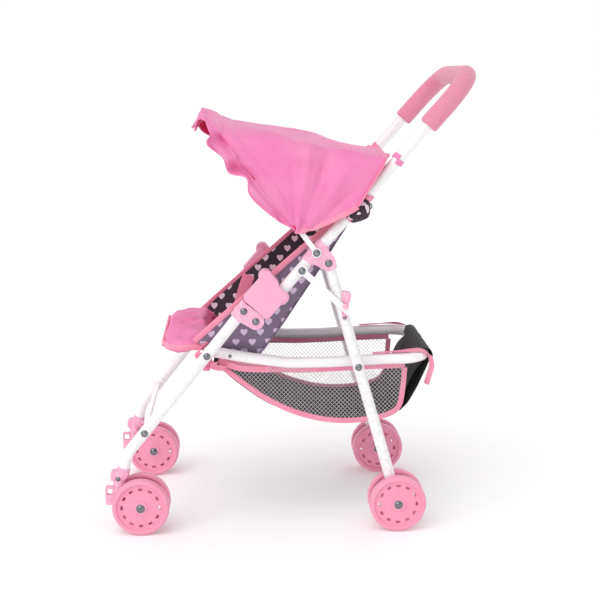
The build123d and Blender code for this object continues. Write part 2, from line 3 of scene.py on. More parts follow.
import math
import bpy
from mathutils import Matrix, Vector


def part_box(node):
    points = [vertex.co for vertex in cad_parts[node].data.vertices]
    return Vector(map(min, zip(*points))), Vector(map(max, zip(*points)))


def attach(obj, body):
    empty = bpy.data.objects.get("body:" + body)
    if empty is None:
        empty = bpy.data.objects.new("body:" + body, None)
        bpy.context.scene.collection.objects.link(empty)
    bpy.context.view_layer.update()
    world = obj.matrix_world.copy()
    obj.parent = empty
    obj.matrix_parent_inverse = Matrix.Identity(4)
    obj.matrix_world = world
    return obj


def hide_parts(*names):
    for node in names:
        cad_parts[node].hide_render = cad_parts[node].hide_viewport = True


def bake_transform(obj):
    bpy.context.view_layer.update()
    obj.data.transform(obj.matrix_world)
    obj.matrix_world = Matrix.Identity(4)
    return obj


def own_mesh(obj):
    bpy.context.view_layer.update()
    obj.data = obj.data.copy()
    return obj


bl_info = {
    "name": "Doll Stroller Dressing",
    "version": (1, 0, 0),
    "blender": (4, 5, 0),
    "location": "3D View > Sidebar > Stroller",
    "description": "Builds the cloth, trims, finishes and stage of a folding doll stroller",
    "category": "Object",
}

import bmesh
import bpy
import numpy as np
from bpy.props import FloatProperty, FloatVectorProperty, PointerProperty
from mathutils import Vector, noise

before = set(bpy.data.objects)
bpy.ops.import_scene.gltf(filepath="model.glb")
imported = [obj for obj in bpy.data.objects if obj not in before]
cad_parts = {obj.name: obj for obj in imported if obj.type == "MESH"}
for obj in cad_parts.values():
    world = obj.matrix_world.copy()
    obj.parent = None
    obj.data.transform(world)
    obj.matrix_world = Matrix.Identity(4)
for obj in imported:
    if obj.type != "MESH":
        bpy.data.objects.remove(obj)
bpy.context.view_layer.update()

MM = 0.001
_axles = [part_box("front_axle_left"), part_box("rear_axle_left")]
MIDDLE_Y = sum(low.y + high.y for low, high in _axles) / 4  # halfway between the axles
SIDES = ((1, "left"), (-1, "right"))

# in mm and Y, Z unless said otherwise
TUBE_R = 6.5  # every tube's radius
HANDLE_X = 110.8  # from the middle plane to the handle tube
BASKET_X = 84.0  # and to the basket tube
HANDLE_ANGLE = math.radians(48.6)
FOLD_PIVOT = np.array((-15.0, 249.0))
HOOD_PIVOT = (53.8, 327.0)
BOW_TIP = (-47.0, 463.0)


def at(x, y, z):
    """A point given in mm from the middle plane, the mid wheelbase and the floor."""
    return Vector((x * MM, y * MM + MIDDLE_Y, z * MM))


def metres(points):
    """An array of points in mm made into metres in the row frame."""
    out = np.array(points, float) * MM
    out[..., 1] += MIDDLE_Y
    return out


def on_handle(t, n=0.0):
    """Y, Z in mm at t along the handle tube from the fold pin and n to its rear."""
    along = np.array((math.cos(HANDLE_ANGLE), math.sin(HANDLE_ANGLE)))
    across = np.array((along[1], -along[0]))
    return FOLD_PIVOT + along * t + across * n


def tone(red, green, blue):
    """A colour in everyday 0 to 255 values made linear."""
    def linear(c):
        c /= 255
        return c / 12.92 if c <= 0.04045 else ((c + 0.055) / 1.055) ** 2.4

    return tuple(linear(c) for c in (red, green, blue))


# ---------------------------------------------------------------- settings


def colour(name, description, *rgb):
    return FloatVectorProperty(
        name=name, description=description, default=tone(*rgb), min=0, max=1, subtype="COLOR", size=3
    )


def length(name, description, value):
    return FloatProperty(
        name=name, description=description, default=value * MM, min=0, unit="LENGTH", precision=4
    )


class StrollerCloth(bpy.types.PropertyGroup):
    satin: colour("Satin", "Hood and apron satin", 244, 128, 184)
    # Inner face of the hood: the same satin given a deeper, more saturated pink, painted shade for the hood's
    # shaded inside and painted light for the light that shines through the thin cloth.
    satin_inside_painted_shade: colour("Satin inside", "Inner face of the hood", 236, 40, 112)
    binding: colour("Binding", "Tape sewn over every cut edge", 252, 142, 176)
    webbing: colour("Webbing", "Lap belt and ties", 248, 140, 176)
    dark_print: colour("Print ground", "Inner face of the seat cloth", 58, 40, 56)
    dark_heart: colour("Print hearts", "Hearts on the inner face", 244, 222, 236)
    pale_print: colour("Reverse ground", "Outer face of the seat cloth", 134, 116, 140)
    pale_heart: colour("Reverse hearts", "Hearts on the outer face", 222, 200, 226)
    black: colour("Black cloth", "Basket floor and rear wall", 20, 17, 20)
    net: colour("Netting", "Knitted net of the basket's sides", 240, 234, 238)
    thread: colour("Thread", "Sewing thread", 250, 178, 205)
    thickness: length("Cloth thickness", "Thickness of every cloth", 0.9)
    heart_size: length("Heart size", "Width of a printed heart", 8.4)
    heart_gap: length("Heart spacing", "Distance between hearts in a row", 19.0)
    net_pitch: length("Net pitch", "Width of one opening in the net", 5.0)
    net_thread: length("Net thread", "Thickness of the net's threads", 0.62)
    stitch: length("Stitch length", "Distance from one stitch to the next", 3.2)


class StrollerHard(bpy.types.PropertyGroup):
    paint: colour("Paint", "Gloss paint on the tubes", 250, 249, 250)
    plastic: colour("Plastic", "Moulded joints and feet", 246, 176, 206)
    wheel: colour("Wheel plastic", "Wheel discs", 248, 158, 188)
    foam: colour("Foam", "Handle grip", 250, 154, 182)
    # Steel: a dark grey standing in for the dark surroundings a polished rivet reflects, a painted
    # reflection.
    steel: colour("Steel", "Rivets, pins and caps", 128, 131, 138)


class StrollerStage(bpy.types.PropertyGroup):
    floor: colour("Floor", "Studio floor", 250, 250, 250)
    world: FloatProperty(name="Surround", description="Brightness of the white surround", default=0.72, min=0)
    key: FloatProperty(name="Key light", description="Strength of the broad light", default=1.0, min=0)
    fill: FloatProperty(name="Fill light", description="Power of each soft box", default=3.0, min=0,
                        unit="POWER")
    lens: FloatProperty(name="Lens", description="Focal length", default=75.0, min=1, unit="CAMERA")


def cloth():
    return bpy.context.scene.stroller_cloth


def hard():
    return bpy.context.scene.stroller_hard


# ---------------------------------------------------------------- shader effects


class Graph:
    """Adds nodes to one node tree and joins them up."""

    def __init__(self, tree):
        self.tree = tree

    def add(self, kind, links=None, **values):
        node = self.tree.nodes.new(kind)
        for key, value in values.items():
            setattr(node, key, value)
        for socket, source in (links or {}).items():
            target = node.inputs[socket]
            if isinstance(source, bpy.types.NodeSocket):
                self.tree.links.new(source, target)
            else:
                target.default_value = source
        return node

    def math(self, operation, a, b=0.0, c=0.0):
        return self.add("ShaderNodeMath", {0: a, 1: b, 2: c}, operation=operation).outputs[0]

    def noise(self, vector, scale, detail=2.0):
        node = self.add("ShaderNodeTexNoise", {"Vector": vector, "Scale": scale, "Detail": detail})
        return node.outputs["Fac"]

    def mix(self, factor, a, b):
        node = self.add("ShaderNodeMix", data_type="RGBA")
        for socket, source in ((node.inputs[0], factor), (node.inputs[6], a), (node.inputs[7], b)):
            if isinstance(source, bpy.types.NodeSocket):
                self.tree.links.new(source, socket)
            else:
                socket.default_value = (*source, 1.0) if hasattr(source, "__len__") else source
        return node.outputs[2]

    def spread(self, value, low, high, to_low, to_high):
        links = {"Value": value, "From Min": low, "From Max": high, "To Min": to_low, "To Max": to_high}
        return self.add("ShaderNodeMapRange", links).outputs["Result"]


def effect(name, inputs, outputs, build):
    """A shader node group with named sockets, made once."""
    group = bpy.data.node_groups.get(name)
    if group:
        return group
    group = bpy.data.node_groups.new(name, "ShaderNodeTree")
    for socket, kind in inputs:
        group.interface.new_socket(socket, in_out="INPUT", socket_type=kind)
    for socket, kind in outputs:
        group.interface.new_socket(socket, in_out="OUTPUT", socket_type=kind)
    graph = Graph(group)
    entry = graph.add("NodeGroupInput").outputs
    made = build(graph, entry)
    graph.add("NodeGroupOutput", made)
    return group


VECTOR, NUMBER, COLOUR = "NodeSocketVector", "NodeSocketFloat", "NodeSocketColor"


def drift_group():
    """Uneven dye or pigment: a colour that wanders a little darker and lighter."""
    def build(g, entry):
        broad = g.noise(entry["Place"], entry["Scale"], 3.0)
        shade = g.spread(broad, 0.3, 0.7, 0.0, 1.0)
        depth = g.math("MULTIPLY", shade, entry["Amount"])
        return {"Colour": g.mix(depth, entry["Colour"], entry["Other"])}

    inputs = [("Place", VECTOR), ("Colour", COLOUR), ("Other", COLOUR), ("Amount", NUMBER), ("Scale", NUMBER)]
    return effect("Colour drift", inputs, [("Colour", COLOUR)], build)


def weave_group():
    """Crossing threads in the cloth's own flat measure, in metres."""
    def build(g, entry):
        parts = g.add("ShaderNodeSeparateXYZ", {0: entry["Flat"]}).outputs
        turn = g.math("DIVIDE", math.tau, entry["Pitch"])
        warp = g.math("SINE", g.math("MULTIPLY", parts[0], turn))
        weft = g.math("SINE", g.math("MULTIPLY", parts[1], turn))
        third = g.math("SINE", g.math("MULTIPLY", parts[2], turn))
        crossed = g.math("MULTIPLY", warp, weft)
        height = g.math("ADD", g.math("MULTIPLY", crossed, 0.5), g.math("MULTIPLY", third, 0.25))
        slub = g.noise(entry["Flat"], 900.0, 2.0)
        height = g.math("ADD", height, slub)
        return {"Height": height, "Shade": g.spread(height, -0.5, 1.5, 0.0, 1.0)}

    inputs = [("Flat", VECTOR), ("Pitch", NUMBER)]
    return effect("Thread weave", inputs, [("Height", NUMBER), ("Shade", NUMBER)], build)


def heart_group():
    """Rows of small hearts, every other row moved half a space along."""
    def build(g, entry):
        parts = g.add("ShaderNodeSeparateXYZ", {0: entry["Flat"]}).outputs
        gap = entry["Spacing"]
        row = g.math("MULTIPLY", gap, 0.65)
        rows = g.math("DIVIDE", parts[1], row)
        shift = g.math("MULTIPLY", g.math("MODULO", g.math("ABSOLUTE", g.math("FLOOR", rows)), 2.0), 0.5)
        columns = g.math("ADD", g.math("DIVIDE", parts[0], gap), shift)
        half = g.math("MULTIPLY", entry["Size"], 0.5)
        from_middle = g.math("SUBTRACT", g.math("FRACT", columns), 0.5)
        across = g.math("DIVIDE", g.math("MULTIPLY", from_middle, gap), half)
        above_middle = g.math("SUBTRACT", g.math("FRACT", rows), 0.47)
        up = g.math("DIVIDE", g.math("MULTIPLY", above_middle, row), half)
        notch = g.math("MULTIPLY", g.math("SQRT", g.math("ABSOLUTE", across)), 0.75)
        lobe = g.math("SUBTRACT", g.math("MULTIPLY", up, 1.15), notch)
        value = g.math("ADD", g.math("MULTIPLY", across, across), g.math("MULTIPLY", lobe, lobe))
        mask = g.spread(value, 0.9, 1.06, 1.0, 0.0)
        ink = g.spread(g.noise(entry["Flat"], 500.0), 0.25, 0.5, 0.9, 1.0)
        return {"Mask": g.math("MULTIPLY", mask, ink)}

    inputs = [("Flat", VECTOR), ("Spacing", NUMBER), ("Size", NUMBER)]
    return effect("Heart print", inputs, [("Mask", NUMBER)], build)


def wear_group():
    """Where a hard piece's edges have been rubbed, broken up by scuffs."""
    def build(g, entry):
        point = g.add("ShaderNodeNewGeometry").outputs["Pointiness"]
        edge = g.spread(point, 0.53, 0.62, 0.0, 1.0)
        scuff = g.spread(g.noise(entry["Place"], entry["Scale"], 4.0), 0.42, 0.62, 0.0, 1.0)
        worn = g.math("MULTIPLY", g.math("MULTIPLY", edge, scuff), entry["Amount"])
        return {"Worn": g.math("MINIMUM", worn, 1.0)}

    inputs = [("Place", VECTOR), ("Scale", NUMBER), ("Amount", NUMBER)]
    return effect("Edge wear", inputs, [("Worn", NUMBER)], build)


def dust_group():
    """A thin film of dust that settles where the surface faces up."""
    def build(g, entry):
        up = g.add("ShaderNodeSeparateXYZ", {0: g.add("ShaderNodeNewGeometry").outputs["Normal"]}).outputs[2]
        facing = g.spread(up, 0.2, 1.0, 0.0, 1.0)
        patch = g.spread(g.noise(entry["Place"], 60.0, 4.0), 0.4, 0.7, 0.0, 1.0)
        return {"Dust": g.math("MULTIPLY", g.math("MULTIPLY", facing, patch), entry["Amount"])}

    return effect("Settled dust", [("Place", VECTOR), ("Amount", NUMBER)], [("Dust", NUMBER)], build)


def start_material(name, **sockets):
    """A material with a Principled shader whose even values sit on its own sockets."""
    name = "dressed_" + name
    material = bpy.data.materials.get(name)
    if material:
        return material, None, None
    material = bpy.data.materials.new(name)
    material.use_nodes = True
    graph = Graph(material.node_tree)
    shader = material.node_tree.nodes["Principled BSDF"]
    for socket, value in sockets.items():
        target = shader.inputs[socket.replace("_", " ")]
        target.default_value = (*value, 1.0) if target.type == "RGBA" else value
    return material, graph, shader


def place_of(graph):
    return graph.add("ShaderNodeTexCoord").outputs["Object"]


def flat_of(graph):
    """The cloth's flat measure that every hand-cut sheet and tape carries."""
    return graph.add("ShaderNodeAttribute", attribute_name="flat").outputs["Vector"]


def group_node(graph, group, links):
    return graph.add("ShaderNodeGroup", links, node_tree=group).outputs


def bump(graph, shader, height, distance, strength=1.0):
    node = graph.add("ShaderNodeBump", {"Height": height, "Distance": distance, "Strength": strength})
    graph.tree.links.new(node.outputs[0], shader.inputs["Normal"])


def feed(graph, shader, socket, source):
    graph.tree.links.new(source, shader.inputs[socket])


def darker(rgb, share):
    return tuple(c * share for c in rgb)


def lighter(rgb, share):
    return tuple(c + (1 - c) * share for c in rgb)


def rgba(rgb):
    return (*rgb, 1.0)


def hard_material(name, base, roughness, grain, grain_depth, wear=0.5, wear_colour=None, drift=0.35,
                  **sockets):
    """Paint, plastic or metal: colour drift, rubbed edges, dust and a fine surface grain."""
    material, graph, shader = start_material(name, **sockets)
    if graph is None:
        return material
    place = place_of(graph)
    drift = group_node(graph, drift_group(), {
        "Place": place, "Colour": rgba(base), "Other": rgba(darker(base, 0.86)),
        "Amount": drift, "Scale": 22.0,
    })["Colour"]
    worn = group_node(graph, wear_group(), {"Place": place, "Scale": 260.0, "Amount": wear})["Worn"]
    rubbed = graph.mix(worn, drift, wear_colour or lighter(base, 0.45))
    dust = group_node(graph, dust_group(), {"Place": place, "Amount": 0.04})["Dust"]
    feed(graph, shader, "Base Color", graph.mix(dust, rubbed, (0.72, 0.70, 0.70)))
    smear = graph.noise(place, 45.0, 3.0)
    rough = graph.spread(smear, 0.3, 0.7, roughness * 0.85, roughness * 1.2)
    feed(graph, shader, "Roughness", graph.math("ADD", rough, graph.math("MULTIPLY", dust, 1.2)))
    bump(graph, shader, graph.noise(place, grain, 3.0), grain_depth)
    return material


def paint_material():
    return hard_material("white_gloss_paint", hard().paint, 0.22, 420.0, 0.00006, 0.35,
                         (0.62, 0.62, 0.64), drift=0.12, Coat_Weight=0.5, Coat_Roughness=0.08)


def plastic_material():
    return hard_material("pink_moulded_plastic", hard().plastic, 0.36, 1500.0, 0.00005, 0.5,
                         Subsurface_Weight=0.12, Subsurface_Radius=(0.004, 0.0015, 0.002))


def wheel_material():
    return hard_material("pink_wheel_plastic", hard().wheel, 0.34, 1200.0, 0.00005, 0.6,
                         Subsurface_Weight=0.15, Subsurface_Radius=(0.004, 0.0015, 0.002))


# Painted reflection: the steel's base colour is kept dark so rivets look as if they reflect dark
# surroundings.
def steel_material():
    return hard_material("rivet_steel", hard().steel, 0.27, 900.0, 0.00003, 0.5,
                         (0.75, 0.75, 0.77), Metallic=1.0)


def foam_material():
    """Closed-cell foam: pores darkened with painted shade, and soft, rubbed patches."""
    material, graph, shader = start_material(
        "pink_grip_foam", Roughness=0.85, Sheen_Weight=0.35, Sheen_Roughness=0.5)
    if graph is None:
        return material
    place = place_of(graph)
    base = hard().foam
    drift = group_node(graph, drift_group(), {
        "Place": place, "Colour": rgba(base), "Other": rgba(lighter(base, 0.22)),
        "Amount": 0.6, "Scale": 30.0,
    })["Colour"]
    cells = graph.add("ShaderNodeTexVoronoi", {"Vector": place, "Scale": 850.0}).outputs["Distance"]
    pores = graph.spread(cells, 0.1, 0.5, 0.0, 1.0)
    # Painted shade: the colour darkens with the pore pattern, standing in for the shade inside the pores.
    feed(graph, shader, "Base Color", graph.mix(pores, drift, darker(base, 0.78)))
    feed(graph, shader, "Roughness", graph.spread(graph.noise(place, 40.0), 0.3, 0.7, 0.78, 0.95))
    lumps = graph.math("ADD", graph.math("MULTIPLY", pores, -0.5), graph.noise(place, 160.0))
    bump(graph, shader, lumps, 0.00035)
    return material


def cloth_material(name, base, other, pitch, roughness, depth, flat=True, hearts=None, amount=0.5, **sockets):
    """Woven cloth, with hearts printed on it where asked."""
    material, graph, shader = start_material(name, **sockets)
    if graph is None:
        return material
    where = flat_of(graph) if flat else place_of(graph)
    drift = group_node(graph, drift_group(), {
        "Place": place_of(graph), "Colour": rgba(base), "Other": rgba(other), "Amount": amount, "Scale": 26.0,
    })["Colour"]
    weave = group_node(graph, weave_group(), {"Flat": where, "Pitch": pitch})
    shaded = graph.mix(graph.math("MULTIPLY", weave["Shade"], 0.2), drift, darker(base, 0.66))
    if hearts is not None:
        mask = group_node(graph, heart_group(), {
            "Flat": where, "Spacing": cloth().heart_gap, "Size": cloth().heart_size,
        })["Mask"]
        shaded = graph.mix(mask, shaded, hearts)
    feed(graph, shader, "Base Color", shaded)
    rough = graph.spread(weave["Shade"], 0.0, 1.0, roughness * 0.85, min(1.0, roughness * 1.15))
    feed(graph, shader, "Roughness", rough)
    bump(graph, shader, weave["Height"], depth)
    return material


def satin_material(flat=True):
    name = "pink_satin" if flat else "pink_quilted_satin"
    base = cloth().satin
    return cloth_material(name, base, lighter(base, 0.16), 0.0011, 0.42, 0.00010, flat,
                          Sheen_Weight=0.04, Sheen_Roughness=0.35, Sheen_Tint=(1.0, 0.78, 0.9))


# The hood's inner face: a deeper pink copy of the satin, painted shade and painted light shining through the
# cloth.
def satin_inside_painted_shade_material():
    base = cloth().satin_inside_painted_shade
    return cloth_material("pink_satin_inside_painted_shade", base, darker(base, 0.8), 0.0011, 0.6, 0.00010,
                          Sheen_Weight=0.2)


def binding_material():
    base = cloth().binding
    return cloth_material("salmon_binding", base, lighter(base, 0.3), 0.0014, 0.62, 0.00022,
                          Sheen_Weight=0.15)


def webbing_material():
    base = cloth().webbing
    return cloth_material("pink_webbing", base, lighter(base, 0.2), 0.0019, 0.66, 0.0003, Sheen_Weight=0.15)


def dark_print_material():
    base = cloth().dark_print
    return cloth_material("dark_heart_print", base, darker(base, 0.7), 0.0009, 0.7, 0.00012,
                          hearts=tuple(cloth().dark_heart), Sheen_Weight=0.1)


def pale_print_material():
    base = cloth().pale_print
    return cloth_material("pale_heart_reverse", base, darker(base, 0.82), 0.0009, 0.75, 0.00012,
                          hearts=tuple(cloth().pale_heart), Sheen_Weight=0.15)


def black_material():
    base = cloth().black
    return cloth_material("black_basket_cloth", base, lighter(base, 0.02), 0.0012, 0.7, 0.00016,
                          Sheen_Weight=0.06)


def net_material():
    base = cloth().net
    return cloth_material("knitted_netting", base, darker(base, 0.85), 0.0008, 0.6, 0.00008, flat=False)


def thread_material():
    base = cloth().thread
    return cloth_material("sewing_thread", base, lighter(base, 0.3), 0.0007, 0.5, 0.00006, flat=False)


# ---------------------------------------------------------------- cutting and sewing


def smooth(points, count):
    """A smooth run of count samples through the given points, along the first axis."""
    p = np.array(points, float)
    p = np.concatenate([2 * p[:1] - p[1:2], p, 2 * p[-1:] - p[-2:-1]])
    place = np.linspace(0, len(p) - 3, count)
    i = np.minimum(place.astype(int), len(p) - 4)
    t = (place - i).reshape(-1, *([1] * (p.ndim - 1)))
    a, b, c, d = p[i], p[i + 1], p[i + 2], p[i + 3]
    return 0.5 * (2 * b + (c - a) * t + (2 * a - 5 * b + 4 * c - d) * t**2 + (3 * b - a - 3 * c + d) * t**3)


def even(points, spacing):
    """The same line with points at an even spacing, in mm."""
    p = np.array(points, float)
    run = np.concatenate([[0], np.cumsum(np.linalg.norm(np.diff(p, axis=0), axis=1))])
    count = max(2, int(round(run[-1] / spacing)) + 1)
    there = np.linspace(0, run[-1], count)
    return np.stack([np.interp(there, run, p[:, k]) for k in range(3)], 1)


def loft(rows, down, along):
    """A dense grid of points, in mm, from a few rows of control points."""
    wide = smooth(np.array(rows, float).swapaxes(0, 1), along)
    return smooth(wide.swapaxes(0, 1), down)


def normals_of(grid):
    du = np.gradient(grid, axis=0)
    dv = np.gradient(grid, axis=1)
    n = np.cross(du, dv)
    size = np.linalg.norm(n, axis=2, keepdims=True)
    return n / np.maximum(size, 1e-9)


def ripple(grid, height, scale, seed, mask=None):
    """Pushes a grid in and out by smooth, fixed noise."""
    n = normals_of(grid)
    start = Vector((seed * 7.3, seed * 3.1, seed * 5.7))
    size = np.array([[noise.noise(Vector(p) * scale + start) for p in row] for row in grid])
    if mask is not None:
        size = size * mask
    return grid + n * (size * height)[..., None]


def ease(share):
    """A gentle step from 0 to 1."""
    t = np.clip(share, 0, 1)
    return t * t * (3 - 2 * t)


def mesh_object(name, vertices, faces, materials, flat=None, material_index=None):
    mesh = bpy.data.meshes.new(name)
    mesh.from_pydata([tuple(v) for v in vertices], [], faces)
    for material in materials:
        mesh.materials.append(material)
    if material_index is not None:
        mesh.polygons.foreach_set("material_index", material_index)
    mesh.polygons.foreach_set("use_smooth", [True] * len(mesh.polygons))
    if flat is not None:
        values = np.zeros((len(vertices), 3), np.float32)
        values[:, : flat.shape[1]] = flat
        mesh.attributes.new("flat", "FLOAT_VECTOR", "POINT").data.foreach_set("vector", values.ravel())
    mesh.validate()
    mesh.update()
    made = bpy.data.objects.new(name, mesh)
    bpy.context.scene.collection.objects.link(made)
    return made


def measured_flat(grid):
    """Flat coordinates of a grid: how far along and across the cloth each point lies, in metres."""
    middle_row, middle_column = grid.shape[0] // 2, grid.shape[1] // 2
    u = np.linalg.norm(np.diff(grid, axis=1), axis=2)
    u = np.concatenate([np.zeros((grid.shape[0], 1)), np.cumsum(u, 1)], 1)
    u = u - u[:, middle_column : middle_column + 1]
    v = np.linalg.norm(np.diff(grid, axis=0), axis=2)
    v = np.concatenate([np.zeros((1, grid.shape[1])), np.cumsum(v, 0)], 0)
    v = v - v[middle_row : middle_row + 1]
    return np.stack([u, v], 2) * MM


def sheet_object(name, grid, upper, lower, thick=None, flat=None):
    """A cloth of real thickness: the grid's normal side takes upper, the other side lower."""
    thick = cloth().thickness / MM if thick is None else thick
    n = normals_of(grid)
    rows, columns = grid.shape[:2]
    flat = measured_flat(grid) if flat is None else flat
    both = np.concatenate([grid + n * thick / 2, grid - n * thick / 2]).reshape(-1, 3)
    count = rows * columns
    faces, index = [], []
    for r in range(rows - 1):
        for c in range(columns - 1):
            a = r * columns + c
            quad = (a, a + columns, a + columns + 1, a + 1)
            faces.append(quad)
            index.append(0)
            faces.append(tuple(count + q for q in reversed(quad)))
            index.append(1)
    border = [c for c in range(columns)]
    border += [r * columns + columns - 1 for r in range(1, rows)]
    border += [(rows - 1) * columns + c for c in range(columns - 2, -1, -1)]
    border += [r * columns for r in range(rows - 2, 0, -1)]
    for a, b in zip(border, border[1:] + border[:1]):
        faces.append((a, b, b + count, a + count))
        index.append(1)
    flats = np.concatenate([flat.reshape(-1, 2)] * 2)
    return mesh_object(name, metres(both), faces, [upper, lower], flats, index)


def tape(name, path, across, width, thick, material, spacing=2.5):
    """A flat tape with soft edges along a path; across says which way its width lies."""
    line = even(path, spacing)
    share = np.linspace(0, 1, len(line))
    across = np.array(across, float)
    if across.ndim == 2:
        there = np.linspace(0, 1, len(across))
        across = np.stack([np.interp(share, there, across[:, k]) for k in range(3)], 1)
    else:
        across = np.repeat(across[None], len(line), 0)
    along = np.gradient(line, axis=0)
    along /= np.linalg.norm(along, axis=1, keepdims=True)
    across = across - along * (across * along).sum(1, keepdims=True)
    across /= np.linalg.norm(across, axis=1, keepdims=True)
    out = np.cross(along, across)
    turns = np.linspace(0, math.tau, 12, endpoint=False)
    sides = [(np.sign(math.cos(t)) * abs(math.cos(t)) ** 0.55, np.sign(math.sin(t)) * abs(math.sin(t)) ** 0.8)
             for t in turns]
    rings = np.stack([line + across * a * width / 2 + out * b * thick / 2 for a, b in sides], 1)
    count = len(sides)
    faces = []
    for r in range(len(line) - 1):
        for s in range(count):
            a, b = r * count + s, r * count + (s + 1) % count
            faces.append((a, b, b + count, a + count))
    faces.append(tuple(reversed(range(count))))
    faces.append(tuple((len(line) - 1) * count + s for s in range(count)))
    run = np.concatenate([[0], np.cumsum(np.linalg.norm(np.diff(line, axis=0), axis=1))])
    flat = np.stack([np.repeat(run, count), np.tile([a * width / 2 for a, _ in sides], len(line))], 1) * MM
    return mesh_object(name, metres(rings.reshape(-1, 3)), faces, [material], flat)


def stitches(name, lines, material, radius=0.32):
    """Rows of separate stitches that lie along the given lines."""
    pitch = cloth().stitch / MM
    vertices, faces = [], []
    for line in lines:
        path = even(line, pitch)
        for a, b in zip(path[:-1], path[1:]):
            run = b - a
            step = run / max(np.linalg.norm(run), 1e-9)
            side = np.cross(step, (0.31, 0.52, 0.79))
            side /= np.linalg.norm(side)
            up = np.cross(step, side)
            first = len(vertices)
            start, end = a + run * 0.14, b - run * 0.14
            vertices += [start, end]
            for share in (0.3, 0.7):
                middle = start + (end - start) * share
                vertices += [middle + side * radius, middle + up * radius,
                             middle - side * radius, middle - up * radius]
            for k in range(4):
                n = (k + 1) % 4
                faces.append((first, first + 2 + n, first + 2 + k))
                faces.append((first + 2 + k, first + 2 + n, first + 6 + n, first + 6 + k))
                faces.append((first + 1, first + 6 + k, first + 6 + n))
    return mesh_object(name, metres(vertices), faces, [material])


def ring(name, centre, axis, radius, wire, material):
    """A round wire ring."""
    axis = Vector(axis).normalized()
    side = axis.orthogonal().normalized()
    up = axis.cross(side)
    vertices, faces = [], []
    major, minor = 28, 10
    for i in range(major):
        a = math.tau * i / major
        out = side * math.cos(a) + up * math.sin(a)
        for j in range(minor):
            b = math.tau * j / minor
            point = Vector(centre) + out * (radius + wire * math.cos(b)) + axis * (wire * math.sin(b))
            vertices.append(tuple(point))
            n, m = (i + 1) % major, (j + 1) % minor
            faces.append((i * minor + j, n * minor + j, n * minor + m, i * minor + m))
    return mesh_object(name, metres(vertices), faces, [material])


def mirror_x(points):
    out = np.array(points, float).copy()
    out[..., 0] *= -1
    return out


def use_material(node, material):
    """Gives a carried CAD node its finish."""
    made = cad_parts[node]
    made.data.materials.clear()
    made.data.materials.append(material)


def set_down(piece, body, replaces=()):
    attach(piece, body)
    finish_piece(replaces)


def finish_piece(replaces=()):
    if replaces:
        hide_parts(*replaces)


class Dressing(bpy.types.Operator):
    """Shared start of every operator here."""

    bl_idname = "stroller.base"
    bl_label = "Stroller piece"
    bl_options = {"REGISTER", "UNDO"}

    def execute(self, context):
        self.build()
        return {"FINISHED"}


# ---------------------------------------------------------------- hard parts


class StrollerFinishHard(Dressing):
    """Gives every tube, moulding, wheel and rivet its finish"""

    bl_idname = "stroller.finish_hard"
    bl_label = "Finish the frame and wheels"

    def build(self):
        finishes = [
            (paint_material, ["handle_tube", "front_leg", "rear_leg", "basket_tube", "fold_strut",
                              "front_crossbar", "canopy_bow"]),
            (plastic_material, ["upper_bracket", "lower_bracket", "lock_sleeve", "caster_socket",
                                "caster_fork", "rear_hub", "latch_catch", "basket_spacers", "rear_spacers"]),
            (wheel_material, ["front_disc", "rear_disc"]),
            (steel_material, ["frame_rivets", "leg_rivets", "rear_rivets", "socket_screws", "swivel_pins",
                              "basket_screws", "front_axle", "rear_axle"]),
            (foam_material, ["handle_grip"]),
        ]
        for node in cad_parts:
            for material, starts in finishes:
                if node.startswith(tuple(starts)):
                    use_material(node, material())


# ---------------------------------------------------------------- hood


